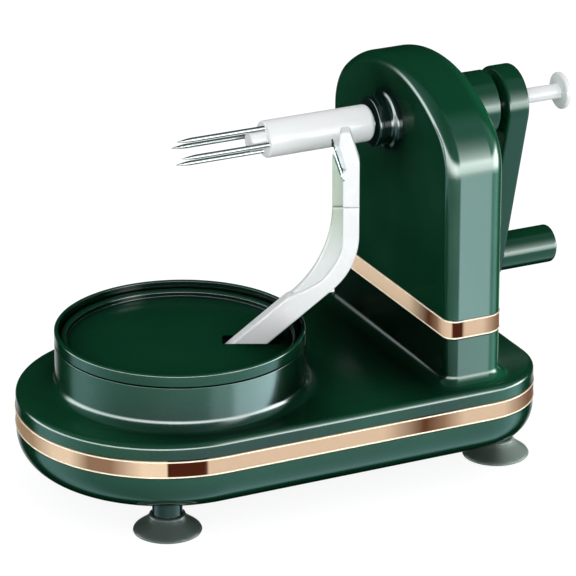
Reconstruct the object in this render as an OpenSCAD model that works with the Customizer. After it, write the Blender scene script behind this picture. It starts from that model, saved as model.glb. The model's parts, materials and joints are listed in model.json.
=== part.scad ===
// Hand-cranked apple peeler, modelled piece by piece.
// The fork axis runs along X with the crank on the +X side. The drum axis is upright.
// The ground is at Z = 0, and the origin is under the middle of the whole peeler.

/* [Base] */
// Length of the base
base_l = 227; // [220:1:245]
// Width of the base
base_w = 132; // [126:1:146]
// Height of the base from its underside to its top plate
base_h = 34; // [31:0.5:44]
// Corner radius of the base at the crank end
base_corner_r = 33; // [26:1:44]
// Rounding of the lower edge of the base
base_bottom_r = 15.5; // [6:0.5:17]
// Rounding of the upper edge of the base
base_edge_r = 2.5; // [1:0.1:4]
// Wall of the plastic shells
shell_t = 2.4; // [1.8:0.1:3]
// Distance from the round end of the base to the drum axis
drum_inset = 73; // [70:0.5:78]

/* [Feet] */
// Height of the base above the ground
foot_h = 13; // [11:0.5:18]
// Radius of a suction cup at its rim
cup_r = 15; // [12:0.5:18]
// Height of a suction cup
cup_h = 8; // [6:0.5:9]
// Radius of the socket that holds a suction cup
socket_r = 6.6; // [6:0.1:8]
// Distance from a foot's axis to the edge of the base at the drum end
foot_edge = 16.5; // [15:0.5:22]
// Distance from a foot's axis to the edge of the base at the crank end
foot_end_edge = 15.2; // [14:0.1:20]

/* [Trim bands] */
// Height of the band round the base
trim_h = 8.2; // [6:0.2:10]
// Distance from the top plate down to the band round the base
trim_drop = 7.4; // [6:0.2:9]
// Height of the band round the column
column_trim_h = 8.8; // [6:0.2:12]
// Distance from the top plate up to the band round the column
column_trim_rise = 22.2; // [18:0.2:30]
// Thickness of both bands
trim_t = 1.2; // [0.8:0.1:1.6]
// How far both bands stand proud of the shells
trim_proud = 0.4; // [0.2:0.1:0.6]

/* [Drum and turntable] */
// Diameter of the drum and the turntable
drum_d = 110; // [104:1:118]
// Height of the drum wall above the top plate
drum_h = 20.3; // [17:0.1:26]
// Height of the turntable's outer wall
cap_h = 5; // [4:0.1:7]
// Thickness of the turntable's upright rim
rim_t = 1.8; // [1.4:0.1:3]
// Depth of the ledge inside the rim
ledge_drop = 2.9; // [2:0.1:4]
// Width of the ledge inside the rim
ledge_w = 3.5; // [2:0.1:6]
// Depth of the lid below the rim
lid_drop = 5.5; // [4.5:0.1:7]
// Thickness of the lid
lid_t = 2.4; // [2:0.1:3.5]
// Rounding where the drum wall meets the top plate
drum_foot_r = 4.5; // [1:0.5:6]

/* [Column] */
// Distance from the drum axis to the column's front face
column_gap = 102; // [98:0.5:108]
// Thickness of the column along the fork axis
column_t = 28.5; // [27:0.5:34]
// Width of the column
column_w = 116; // [108:1:120]
// Height of the column above the top plate
column_h = 134.5; // [128:0.5:145]
// Rounding of the column's front edges
column_edge_r = 4; // [3:0.5:10]
// Rounding of the column's rear edges
column_rear_r = 9; // [6:0.5:10]
// Radius of the arch's shoulders
shoulder_r = 28; // [22:1:33]
// Height of the arch above the straight sides
arch_rise = 38.5; // [36:0.5:45]
// Rounding where the column meets the top plate
column_foot_r = 5; // [2:0.5:7]
// Width of the column's rim round the rear cover
cover_inset = 11; // [9.5:0.5:14]

/* [Shaft and fork] */
// Height of the fork axis above the top plate
shaft_rise = 106.5; // [98:0.5:110]
// Radius of the crank shaft
shaft_r = 5.5; // [5:0.1:6]
// Radius of the push rod
rod_r = 3.4; // [2.5:0.1:3.6]
// Radius of the fork tube
fork_tube_r = 8.2; // [7.8:0.1:9.5]
// Length of the fork tube
fork_tube_l = 50.8; // [44:0.2:54]
// Distance from the column's front face to the fork tube
collar_l = 10.6; // [8:0.2:14]
// Radius of the collar's flange on the column
collar_r = 13.6; // [12:0.2:16]
// Diameter of a prong
prong_d = 2; // [1.6:0.1:2.4]
// Length of a prong in front of the fork tube
prong_l = 41.4; // [34:0.2:46]
// Radius of the circle that the prongs stand on
prong_circle_r = 5.5; // [5.4:0.1:6]
// Radius of the ejector
ejector_r = 4.2; // [3.9:0.1:4.3]
// Length of the ejector in front of the fork tube
ejector_out = 7.2; // [5:0.2:10]

/* [Crank] */
// Distance from the fork axis to the handle's axis
crank_radius = 82; // [70:1:90]
// Angle of the hanging crank from straight down
crank_angle = 12; // [0:1:30]
// Radius of the crank arm's head
crank_head_r = 16; // [14:0.5:18]
// Radius of the crank arm's lower end
crank_end_r = 11.5; // [9.5:0.5:13]
// Thickness of the crank arm
crank_t = 10.6; // [9:0.2:13]
// Radius of the hub on the rear cover
hub_r = 15; // [12:0.5:17]
// Length of the hub on the rear cover
hub_l = 19.4; // [14:0.2:24]
// Radius of the handle
handle_r = 8.7; // [7.5:0.1:10]
// Length of the handle
handle_l = 29.4; // [22:0.2:34]
// Length of the push rod between the crank arm and the disc
push_out = 22.8; // [18:0.2:28]
// Radius of the push disc
disc_r = 8.4; // [7:0.1:10]
// Thickness of the push disc
disc_t = 2.6; // [2:0.1:4]

/* [Peeling arm] */
// Angle of the parked arm from the fork axis
arm_turn = 25.8; // [24:0.2:30]
// Distance from the drum axis to the arm's pivot
pivot_out = 22.2; // [21.8:0.1:24]
// Slope of the parked arm's foot
arm_slope = 42; // [40:0.5:46]
// Depth of the arm's foot
arm_depth = 10.6; // [9:0.2:11]
// Width of the arm
arm_w = 8; // [7:0.2:9]
// Distance from the drum axis to the parked arm's outer face
arm_reach = 78; // [76:0.2:80]
// Outer radius of the arm's bend
arm_bend_r = 34; // [31:0.5:37]
// Depth of the rib along the arm's outer face
rib_depth = 7.2; // [6:0.1:9]
// Depth of the arm across the rib and the web
stem_depth = 11.7; // [11:0.1:13]
// Thickness of the web beside the rib
web_t = 3.4; // [2.4:0.2:5]
// Inner radius of the web's sweep
web_r = 54; // [50:1:58]
// Length of the cutter head
head_l = 35; // [32:0.5:37]
// Height of the seam under the cutter head above the lid
seam_rise = 63; // [61:0.5:65]
// Length of the blade
blade_l = 17; // [14:0.2:18]
// Thickness of the blade
blade_t = 0.6; // [0.4:0.1:0.8]
// Lean of the blade from upright
blade_lean = 18; // [15:0.5:20]
// Furthest swing of the arm towards the fruit
arm_swing = 17; // [10:0.5:18]

/* [Gears] */
// Teeth of the gear under the turntable
turntable_teeth = 40; // [38:2:42]
// Teeth of the idler gear
idler_teeth = 34; // [32:2:36]
// Teeth of the pinion on the spindle
pinion_teeth = 16; // [14:1:18]
// Teeth of the worm wheel
wheel_teeth = 16; // [14:1:16]
// Module of the worm and the worm wheel
worm_module = 1.1; // [1:0.05:1.15]
// Pitch radius of the worm
worm_r = 9; // [8.5:0.1:10]
// Face width of the gears in the base
gear_h = 7; // [5:0.5:9]
// Play between the flanks of meshing teeth
backlash = 0.4; // [0.3:0.05:0.5]

/* [Clearances] */
// Radial play of a running fit
run_fit = 0.05; // [0.03:0.01:0.08]
// Gap between pieces that move past each other
gap = 0.4; // [0.3:0.05:0.6]
// Play between the shells and what is let into them
seat_fit = 0.1; // [0.05:0.05:0.2]

/* [Hidden] */
$fn = 64;
GREEN = "#12402f";
DARK = "#0b2a20";
GOLD = "#c98f6b";
WHITE = "#f2f2f2";
STEEL = "#c4c8cc";
RUBBER = "#7d8a84";
NYLON = "#e4e0d2";

// Levels
base_z = foot_h;
top_z = base_z + base_h;
floor_z = base_z + shell_t;
trim_z = top_z - trim_drop - trim_h;
split_z = trim_z + trim_h / 2;
drum_top = top_z + drum_h;
rim_z = drum_top + cap_h;
lid_z = rim_z - lid_drop;
lid_under = lid_z - lid_t;
column_trim_z = top_z + column_trim_rise;
column_split = column_trim_z + column_trim_h / 2;
column_top = top_z + column_h;
spring_z = column_top - arch_rise;
shaft_z = top_z + shaft_rise;

// Places along the fork axis, from the drum axis
left_x = -drum_inset;
left_c = left_x + base_w / 2;
right_x = left_x + base_l;
right_c = right_x - base_corner_r;
column_x0 = column_gap;
column_x1 = column_gap + column_t;
cover_t = shell_t;
ledge_t = 2;
bay_x0 = column_x0 + shell_t;
bay_x1 = column_x1 - cover_t - ledge_t;
bay_x = (bay_x0 + bay_x1) / 2;
tube_x1 = column_x0 - collar_l;
tube_x0 = tube_x1 - fork_tube_l;
hub_x = column_x1 + hub_l;
spacer_l = 2.8;
crank_x0 = hub_x + gap + spacer_l;
crank_x1 = crank_x0 + crank_t;
handle_x = crank_x1 + gap;
disc_x = crank_x1 + push_out;
end_x = max(handle_x + handle_l, disc_x + disc_t);
mid_x = (end_x + left_x - trim_proud) / 2;

// Arch of the column
half_w = column_w / 2;
shoulder_y = half_w - shoulder_r;
crown_r = (pow(arch_rise, 2) + pow(shoulder_y, 2) - pow(shoulder_r, 2)) / (2 * (arch_rise - shoulder_r));
crown_z = column_top - crown_r;
crown_half = atan2(shoulder_y, spring_z - crown_z);
cover_low = column_trim_z + column_trim_h + 8;
trim_depth = trim_t - trim_proud;
drum_r = drum_d / 2;

// Worm drive and gear train
wheel_r = wheel_teeth * worm_module / 2;
wheel_h = 6;
wheel_hub_l = 6;
wheel_hub_wall = 2.6;
worm_pitch = PI * worm_module;
worm_turns = 4;
worm_l = worm_turns * worm_pitch;
spindle_y = worm_r + wheel_r;
spindle_r = 3;
train_l = norm([bay_x, spindle_y]);
train_angle = atan2(spindle_y, bay_x);
gear_module = 2 * train_l / (turntable_teeth + 2 * idler_teeth + pinion_teeth);
idler_out = gear_module * (turntable_teeth + idler_teeth) / 2;
idler_x = idler_out * cos(train_angle);
idler_y = idler_out * sin(train_angle);
gear_z = floor_z + 6;
pressure_angle = 20;
axle_r = 4;
hub_tube_r = 9;
flange_r = 15;
pad_t = 3;

// Turns that bring the teeth into mesh at rest
idler_phase = train_angle + 180 - (0 - train_angle) * turntable_teeth / idler_teeth - 180 / idler_teeth;
pinion_phase = train_angle + 180 - (idler_phase - train_angle) * idler_teeth / pinion_teeth
    - 180 / pinion_teeth;

// Fasteners and bearings
bush_t = 2;
screw_r = 1.8;
screw_head_r = 3.4;
screw_head_h = 2.2;
post_r = 4;
base_screw_l = 14;
cover_screw_l = 10;
column_screw_l = 12;
small_screw_r = 1.3;
small_head_r = 2.4;
small_head_h = 1.6;
small_screw_l = 6;
bolt_r = 2.8;
bolt_head_r = 5;
bolt_head_h = 3;
bolt_well = 7;
handle_cap_r = 6;
handle_cap_t = 2.6;
tab_t = 3;
screw_pad_t = 3.6;
base_screw_edge = 15;
base_screw_mid = 62;
base_screw_side = 15;
base_screw_places = [
    for (s = [-1, 1], p = [
        [left_c + (base_w / 2 - base_screw_edge) * cos(150), (base_w / 2 - base_screw_edge) * sin(150)],
        [base_screw_mid, base_w / 2 - base_screw_edge],
        [right_x - base_screw_edge, base_screw_side]
    ]) [p[0], s * p[1]]
];
cover_screw_edge = 6;
cover_screw_r = shoulder_r - cover_inset - cover_screw_edge;
cover_screw_places = [
    for (s = [-1, 1], p = [
        [half_w - cover_inset - cover_screw_edge, cover_low + cover_screw_edge],
        [shoulder_y + cover_screw_r * sin(45), spring_z + cover_screw_r * cos(45)]
    ]) [s * p[0], p[1]]
];
column_post_y = half_w - shell_t - post_r - 0.5;
column_tab_z = top_z + 8;
bracket_w = 18;
bracket_h = 7;
bracket_foot = 9;
bracket_plate_t = 2.6;
bracket_post_l = 5;
bracket_post_r = 3;
bracket_z = shaft_z - wheel_h / 2 - wheel_hub_l - gap - bracket_h;
bracket_screw_out = spindle_r + small_head_r + 0.6;
bracket_screw_y = [spindle_y - bracket_screw_out, spindle_y + bracket_screw_out];
bracket_screw_z = bracket_z - bracket_foot / 2;

// Feet
foot_angle = 114;
foot_end_angle = 9.4;
foot_places = [
    for (s = [-1, 1]) each [
        [
            left_c + (base_w / 2 - foot_edge) * cos(foot_angle),
            s * (base_w / 2 - foot_edge) * sin(foot_angle)
        ],
        [
            right_c + (base_corner_r - foot_end_edge) * cos(foot_end_angle),
            s * (base_w / 2 - base_corner_r + (base_corner_r - foot_end_edge) * sin(foot_end_angle))
        ]
    ]
];
plug_r = socket_r - 2.6;
barb_r = plug_r + 1.4;
barb_h = 2.4;
tray_r = max(base_bottom_r - shell_t, 0.4);
barb_in = max(base_bottom_r - min(foot_edge, foot_end_edge) + barb_r, 0);
socket_top = floor_z + tray_r - sqrt(max(pow(tray_r, 2) - pow(barb_in, 2), 0)) + 0.4;

// Fork
prong_tilt = 6.5;
prong_seat = 16;
prong_taper = 6.5;
fork_bore_l = 24;
ejector_l = ejector_out + 15;
rod_x0 = tube_x0 - ejector_out + 12;

// Peeling arm, in its own upright plane
pivot_z = lid_under - arm_depth / 2 - 0.3;
foot_low = [pivot_out + arm_depth / 2 * sin(arm_slope), pivot_z - arm_depth / 2 * cos(arm_slope)];
bend_x = arm_reach - arm_bend_r;
bend_z = foot_low[1] + (arm_bend_r + (bend_x - foot_low[0]) * sin(arm_slope)) / cos(arm_slope);
seam_z = lid_z + seam_rise;
stem_x = arm_reach - stem_depth;
rib_x = arm_reach - rib_depth;
foot_l = (bend_x - foot_low[0]) * cos(arm_slope) + (bend_z - foot_low[1]) * sin(arm_slope);
foot_top = foot_low + arm_depth * [-sin(arm_slope), cos(arm_slope)];
web_z = foot_top[1] + (web_r + (stem_x - web_r - foot_top[0]) * sin(arm_slope)) / cos(arm_slope);
pin_r = 2;
lug_t = 2.6;
lug_r = 4.8;
slot_play = 0.8;
slot_out = 44;
slot_in = pivot_out - slot_play + min(
    (lid_under - pivot_z) / tan(arm_slope + arm_swing) - arm_depth / 2 / sin(arm_slope + arm_swing),
    (lid_under - pivot_z) / tan(arm_slope) - arm_depth / 2 / sin(arm_slope)
);
tenon_h = 6;
tenon_w = rib_depth - 3.2;
blade_x = rib_x + 0.6;
blade_z = seam_z + 12.5;
guard_gap = 0.8;
guard_low = [blade_x, blade_z] - (blade_t / 2 + guard_gap) * [cos(blade_lean), sin(blade_lean)];
guard_tip = stem_x + 0.5;
guard_high = guard_low[1] + (guard_low[0] - guard_tip) / tan(blade_lean);
rivet_r = 0.9;

// Arm spring
spring_wire = 0.8;
spring_r = 3.2;
spring_turns = 4;
spring_pitch = 1.4;
spring_rings = 8;
spring_leg = 5;

// Moves a piece from the drum's frame into the peeler's frame
module place() {
    translate([-mid_x, 0, 0]) children();
}

// Turns a piece drawn in the arm's upright plane to where the arm is parked
module arm_plane() {
    rotate([0, 0, -arm_turn]) rotate([90, 0, 0]) children();
}

// Lays a piece that is drawn along Z along the fork axis
module along_x(x, y = 0, z = 0) {
    translate([x, y, z]) rotate([0, 90, 0]) children();
}

// Tube drawn along Z
module tube(outer, inner, h) {
    difference() {
        cylinder(r = outer, h = h);
        translate([0, 0, -1]) cylinder(r = inner, h = h + 2);
    }
}

// Side view of the base from its middle out to a face at distance reach
module base_section(reach, inset) {
    out = reach - inset;
    low = base_z + inset;
    high = top_z - inset;
    low_r = max(base_bottom_r - inset, 0.4);
    high_r = max(base_edge_r - inset, 0.4);
    translate([0, low]) square([out - low_r, high - low]);
    translate([0, low + low_r]) square([out, high - low - low_r - high_r]);
    translate([0, high - high_r - 1]) square([out - high_r, high_r + 1]);
    translate([out - low_r, low + low_r]) circle(low_r);
    translate([out - high_r, high - high_r]) circle(high_r);
}

// Whole base as one block, drawn in from its outer face by inset
module base_block(inset) {
    half = base_w / 2;
    translate([left_c, 0, 0]) rotate([0, 0, 90]) rotate_extrude(angle = 180) base_section(half, inset);
    translate([left_c, 0, 0]) rotate([90, 0, 90]) linear_extrude(right_c - left_c) {
        base_section(half, inset);
        mirror([1, 0]) base_section(half, inset);
    }
    for (s = [0, 1])
        mirror([0, s, 0]) translate([right_c, half - base_corner_r, 0])
            rotate_extrude(angle = 90) base_section(base_corner_r, inset);
    translate([right_c, half - base_corner_r, 0]) rotate([90, 0, 0])
        linear_extrude(base_w - 2 * base_corner_r) base_section(base_corner_r, inset);
}

// Outline of the base seen from above
module base_outline(inset) {
    half = base_w / 2;
    translate([left_c, 0]) circle(half - inset);
    translate([left_c, inset - half]) square([right_c - left_c, base_w - 2 * inset]);
    translate([right_c - 1, base_corner_r - half])
        square([base_corner_r - inset + 1, base_w - 2 * base_corner_r]);
    for (s = [-1, 1])
        translate([right_c, s * (half - base_corner_r)]) circle(base_corner_r - inset);
}

// Outline of the column seen from above
module column_plan(inset) {
    front = max(column_edge_r - inset, 0.5);
    rear = max(column_rear_r - inset, 0.5);
    x0 = column_x0 + inset;
    x1 = column_x1 - inset;
    half = half_w - inset;
    translate([x0 + front, -half]) square([x1 - x0 - front - rear, 2 * half]);
    translate([x0, front - half]) square([x1 - x0 - rear, 2 * half - 2 * front]);
    translate([x0 + front, rear - half]) square([x1 - x0 - front, 2 * half - 2 * rear]);
    for (s = [-1, 1]) {
        translate([x0 + front, s * (half - front)]) circle(front);
        translate([x1 - rear, s * (half - rear)]) circle(rear);
    }
}

// Outline of the column's arch seen along the fork axis
module arch_outline(inset, low) {
    far = 3 * crown_r;
    translate([inset - half_w, low]) square([column_w - 2 * inset, spring_z - low]);
    for (s = [-1, 1])
        translate([s * shoulder_y, spring_z]) circle(shoulder_r - inset);
    intersection() {
        translate([0, crown_z]) circle(crown_r - inset);
        polygon([
            [0, crown_z],
            [far * sin(crown_half), crown_z + far * cos(crown_half)],
            [-far * sin(crown_half), crown_z + far * cos(crown_half)]
        ]);
    }
}

// Half of a thick disc's side view, with rounded outer edges
module disc_section(r, t, edge) {
    square([r - edge, t]);
    translate([0, edge]) square([r, t - 2 * edge]);
    for (z = [edge, t - edge])
        translate([r - edge, z]) circle(edge);
}

// Side view of the column's arch out to radius r, with the front edge at the bottom
module arch_section(r, t, front, rear) {
    square([r - max(front, rear), t]);
    square([r - front, t - rear]);
    translate([0, front]) square([r - rear, t - front]);
    translate([0, front]) square([r, t - front - rear]);
    translate([r - front, front]) circle(front);
    translate([r - rear, t - rear]) circle(rear);
}

// Column as one block with rounded edges, drawn in from its outer face by inset
module column_block(inset, low) {
    front = max(column_edge_r - inset, 0.5);
    rear = max(column_rear_r - inset, 0.5);
    t = column_t - 2 * inset;
    x = column_x0 + inset;
    translate([0, 0, low]) linear_extrude(spring_z - low) column_plan(inset);
    for (s = [0, 1])
        mirror([0, s, 0]) along_x(x, shoulder_y, spring_z) rotate([0, 0, 90])
            rotate_extrude(angle = 90 - crown_half) arch_section(shoulder_r - inset, t, front, rear);
    along_x(x, 0, crown_z) rotate([0, 0, 180 - crown_half])
        rotate_extrude(angle = 2 * crown_half) arch_section(crown_r - inset, t, front, rear);
}

// Extrudes an outline that is drawn in the upright plane across the fork axis
module across(x0, x1) {
    translate([x0, 0, 0]) rotate([90, 0, 90]) linear_extrude(x1 - x0) children();
}

// Side view of a hollow fillet of radius r, with its corner at the origin
module fillet_section(r) {
    difference() {
        translate([-1, -1]) square(r + 1);
        translate([r - 0.05, r - 0.05]) circle(r);
    }
}

// Runs a side view round the column's outline
module round_column() {
    front = column_edge_r;
    rear = column_rear_r;
    radii = [rear, front, front, rear];
    corners = [
        [column_x1 - rear, half_w - rear], [column_x0 + front, half_w - front],
        [column_x0 + front, front - half_w], [column_x1 - rear, rear - half_w]
    ];
    side = column_t - front - rear;
    runs = [column_w - 2 * rear, side, column_w - 2 * front, side];
    for (i = [0 : 3])
        translate(corners[i]) rotate([0, 0, 90 * i]) {
            rotate_extrude(angle = 90) translate([radii[i], 0]) children();
            translate([radii[i], 0, 0]) rotate([90, 0, 0]) linear_extrude(runs[i]) children();
        }
}

// Groove round the base for its band
module base_trim_groove() {
    translate([0, 0, trim_z - seat_fit]) linear_extrude(trim_h + 2 * seat_fit) difference() {
        base_outline(-5);
        base_outline(trim_depth);
    }
}

// Groove round the column for its band
module column_trim_groove() {
    translate([0, 0, column_trim_z - seat_fit]) linear_extrude(column_trim_h + 2 * seat_fit) difference() {
        column_plan(-5);
        column_plan(trim_depth);
    }
}

// Screw with its head at the origin and its shank along -Z
module screw(shank_r, length, head_r, head_h) {
    difference() {
        cylinder(r = head_r, h = head_h);
        for (a = [0, 90])
            rotate([0, 0, a]) translate([-head_r * 0.6, -0.4, head_h * 0.5])
                cube([head_r * 1.2, 0.8, head_h]);
    }
    translate([0, 0, -length]) cylinder(r = shank_r, h = length + 0.5);
}

// Involute function of an angle in degrees
function involute(a) = tan(a) * 180 / PI - a;

// Polar angle of a flank at radius r, for a tooth whose middle is at angle 0
function flank_angle(teeth, m, r) =
    let (pitch_r = teeth * m / 2, base_r = pitch_r * cos(pressure_angle))
    90 / teeth - backlash / 2 / pitch_r * 180 / PI / 2 + involute(pressure_angle)
        - involute(acos(min(1, base_r / r)));

// Outline of a spur gear with a tooth's middle on +X
function gear_points(teeth, m) =
    let (
        pitch_r = teeth * m / 2,
        tip_r = pitch_r + m,
        root_r = pitch_r - 1.25 * m,
        flank_r0 = max(root_r + 0.1, pitch_r * cos(pressure_angle)),
        radii = [root_r, for (i = [0 : 2]) flank_r0 + (tip_r - flank_r0) * i / 2]
    )
    [
        for (i = [0 : teeth - 1]) each [
            for (r = radii)
                let (a = 360 * i / teeth - flank_angle(teeth, m, max(r, flank_r0)))
                    [r * cos(a), r * sin(a)],
            for (k = [len(radii) - 1 : -1 : 0])
                let (r = radii[k], a = 360 * i / teeth + flank_angle(teeth, m, max(r, flank_r0)))
                [r * cos(a), r * sin(a)]
        ]
    ];

// Spur gear with a bore and a hub from level low to level high
module gear(teeth, m, h, bore_r, phase, hub_r, low, high) {
    difference() {
        union() {
            rotate([0, 0, phase]) linear_extrude(h) polygon(gear_points(teeth, m));
            translate([0, 0, low]) cylinder(r = hub_r, h = high - low);
        }
        translate([0, 0, low - 1]) cylinder(r = bore_r, h = high - low + 2);
    }
}

// Worm radius at an angle from the middle of the thread's crest
function worm_radius(a) =
    let (
        s = abs(a) / 360 * worm_pitch,
        thread = worm_pitch / 4 - backlash / 4,
        slope = tan(pressure_angle),
        crest = thread - slope * worm_module,
        root = thread + slope * 1.25 * worm_module
    )
    s < crest ? worm_r + worm_module
        : s > root ? worm_r - 1.25 * worm_module
        : worm_r + worm_module - (s - crest) / slope;

// Lower half of the base, open at the top
module base_tray() {
    color(GREEN) place() difference() {
        union() {
            difference() {
                intersection() {
                    base_block(0);
                    translate([left_x - 5, -base_w, 0]) cube([base_l + 10, 2 * base_w, split_z]);
                }
                base_block(shell_t);
            }
            for (p = foot_places)
                translate([p[0], p[1], cup_h - 0.6]) cylinder(r = socket_r, h = socket_top - cup_h + 0.6);
            for (p = base_screw_places)
                translate([p[0], p[1], base_z + 1]) cylinder(r = 6, h = shell_t + screw_pad_t - 1);
            translate([bay_x, spindle_y, base_z + 1]) cylinder(r = 6, h = gear_z - gap - base_z - 1);
            translate([0, 0, base_z + 1]) cylinder(r = 8, h = gear_z - gap - base_z - 1);
            translate([idler_x, idler_y, base_z + 1]) cylinder(r = 8, h = gear_z - gap - base_z - 1);
        }
        base_trim_groove();
        for (p = foot_places)
            translate([p[0], p[1], 0]) cylinder(r = plug_r + seat_fit, h = top_z);
        for (p = base_screw_places)
            translate([p[0], p[1], 0]) {
                cylinder(r = screw_r + seat_fit, h = split_z);
                cylinder(r = screw_head_r + seat_fit, h = base_z + screw_head_h + 0.4);
            }
        translate([bay_x, spindle_y, floor_z]) cylinder(r = spindle_r + run_fit, h = base_h);
        for (p = [[0, 0], [idler_x, idler_y]])
            translate([p[0], p[1], base_z + 1.6]) cylinder(r = axle_r, h = base_h);
    }
}

// Upper half of the base with the drum wall and the column's stub
module base_cover() {
    color(GREEN) place() difference() {
        union() {
            intersection() {
                base_block(0);
                translate([left_x - 5, -base_w, split_z]) cube([base_l + 10, 2 * base_w, base_h]);
            }
            translate([0, 0, top_z - 1]) cylinder(r = drum_r, h = drum_h + 1);
            translate([0, 0, top_z]) rotate_extrude() translate([drum_r, 0]) fillet_section(drum_foot_r);
            translate([0, 0, top_z - 1]) linear_extrude(column_split - top_z + 1) column_plan(0);
            translate([0, 0, top_z]) round_column() fillet_section(column_foot_r);
        }
        difference() {
            translate([0, 0, split_z - 1]) linear_extrude(top_z - shell_t - split_z + 1)
                base_outline(shell_t);
            for (p = base_screw_places)
                translate([p[0], p[1], floor_z + screw_pad_t]) cylinder(r = post_r, h = base_h);
        }
        for (p = base_screw_places)
            translate([p[0], p[1], 0])
                cylinder(r = screw_r, h = base_z + screw_head_h + base_screw_l + 1);
        translate([0, 0, split_z]) cylinder(r = drum_r - shell_t, h = base_h + drum_h);
        difference() {
            translate([0, 0, top_z - shell_t - 1]) linear_extrude(column_h) column_plan(shell_t);
            for (s = [0, 1])
                mirror([0, s, 0]) translate([column_x0, column_post_y - post_r - 1, column_tab_z])
                    cube([column_t, half_w, tab_t]);
        }
        for (s = [-1, 1])
            translate([bay_x, s * column_post_y, top_z]) cylinder(r = screw_r + seat_fit, h = column_h);
        base_trim_groove();
        column_trim_groove();
    }
}

// Band over the joint round the base
module base_trim_band() {
    color(GOLD) place() translate([0, 0, trim_z]) linear_extrude(trim_h) difference() {
        base_outline(-trim_proud);
        base_outline(trim_depth - seat_fit);
    }
}

// Screws that hold the tray to the cover
module base_screws() {
    color(STEEL) place() for (p = base_screw_places)
        translate([p[0], p[1], base_z + screw_head_h + 0.4]) mirror([0, 0, 1])
            screw(screw_r, base_screw_l, screw_head_r, screw_head_h);
}

// Suction cup with the plug that holds it in its socket
module suction_cup(i) {
    lip_t = 1.2;
    color(RUBBER) place() translate([foot_places[i][0], foot_places[i][1], 0]) rotate_extrude() {
        polygon([
            [0, cup_h - 3], [socket_r, cup_h - 4], [cup_r - lip_t, 0], [cup_r, 0], [cup_r, lip_t],
            [socket_r + 1.2, cup_h], [socket_r + seat_fit, cup_h], [socket_r + seat_fit, cup_h - 0.8],
            [0, cup_h - 0.8]
        ]);
        translate([0, cup_h - 1]) square([plug_r, socket_top + barb_h - cup_h]);
        translate([0, socket_top + 0.2]) polygon([[0, 0], [barb_r, 0], [plug_r, barb_h], [0, barb_h]]);
    }
}
module suction_cup_front_left() suction_cup(0);
module suction_cup_front_right() suction_cup(1);
module suction_cup_rear_left() suction_cup(2);
module suction_cup_rear_right() suction_cup(3);

// Arched shell of the column, open at the bottom and the rear
module column_housing() {
    color(GREEN) place() difference() {
        union() {
            difference() {
                column_block(0, column_split);
                intersection() {
                    column_block(shell_t, column_split - 1);
                    translate([column_x0, -column_w, 0])
                        cube([bay_x1 - column_x0, 2 * column_w, 2 * column_top]);
                }
            }
            for (p = cover_screw_places)
                along_x(column_x0 + 1, p[0], p[1]) cylinder(r = post_r, h = bay_x1 - column_x0);
            for (s = [-1, 1])
                translate([bay_x, s * column_post_y, column_tab_z + tab_t])
                    cylinder(r = post_r, h = column_screw_l + 20);
            for (s = [-1, 1])
                translate([bay_x - 3, s * (half_w - shell_t - 1) - 1, column_split])
                    cube([6, 2, column_tab_z + tab_t + column_screw_l + 20 - column_split]);
            for (y = bracket_screw_y)
                along_x(column_x0 + 1, y, bracket_screw_z)
                    cylinder(r = bracket_post_r, h = shell_t - 1 + bracket_post_l);
        }
        across(bay_x1 - 1, column_x1 + 1) arch_outline(cover_inset + 3.5, cover_low + 3.5);
        across(column_x1 - cover_t, column_x1 + 1) {
            arch_outline(cover_inset, cover_low);
            translate([0, shaft_z]) circle(hub_r + seat_fit);
        }
        column_trim_groove();
        along_x(column_x0 - 1, 0, shaft_z) cylinder(r = shaft_r + run_fit + bush_t, h = shell_t + 2);
        for (p = cover_screw_places)
            along_x(column_x1 - cover_t - cover_screw_l, p[0], p[1]) cylinder(r = screw_r, h = column_t);
        for (s = [-1, 1])
            translate([bay_x, s * column_post_y, column_tab_z])
                cylinder(r = screw_r, h = column_screw_l + 1);
        for (y = bracket_screw_y)
            along_x(bay_x0 + 0.6, y, bracket_screw_z) cylinder(r = small_screw_r, h = bracket_post_l + 1);
    }
}

// Band over the joint round the column
module column_trim_band() {
    color(GOLD) place() translate([0, 0, column_trim_z]) linear_extrude(column_trim_h) difference() {
        column_plan(-trim_proud);
        column_plan(trim_depth - seat_fit);
    }
}

// Plate that closes the column's rear, with the hub for the crank shaft
module column_rear_cover() {
    color(GREEN) place() difference() {
        union() {
            across(column_x1 - cover_t, column_x1)
                arch_outline(cover_inset + seat_fit, cover_low + seat_fit);
            along_x(column_x1 - cover_t, 0, shaft_z) cylinder(r = hub_r, h = cover_t + hub_l);
        }
        along_x(column_x1 - cover_t - 1, 0, shaft_z)
            cylinder(r = shaft_r + run_fit + bush_t, h = hub_l + cover_t + 2);
        for (p = cover_screw_places) {
            along_x(column_x1 - cover_t - 1, p[0], p[1])
                cylinder(r = screw_r + seat_fit, h = cover_t + 2);
            along_x(column_x1 - 1.2, p[0], p[1]) cylinder(r = screw_head_r + seat_fit, h = 3);
        }
    }
}

// Screws that hold the rear cover
module rear_cover_screws() {
    color(STEEL) place() for (p = cover_screw_places)
        along_x(column_x1 - 1.2, p[0], p[1])
            screw(screw_r, cover_screw_l - 1.4, screw_head_r, screw_head_h);
}

// Screws that hold the column to the base
module column_screws() {
    color(STEEL) place() for (s = [-1, 1])
        translate([bay_x, s * column_post_y, column_tab_z]) mirror([0, 0, 1])
            screw(screw_r, column_screw_l, screw_head_r, screw_head_h);
}

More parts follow.
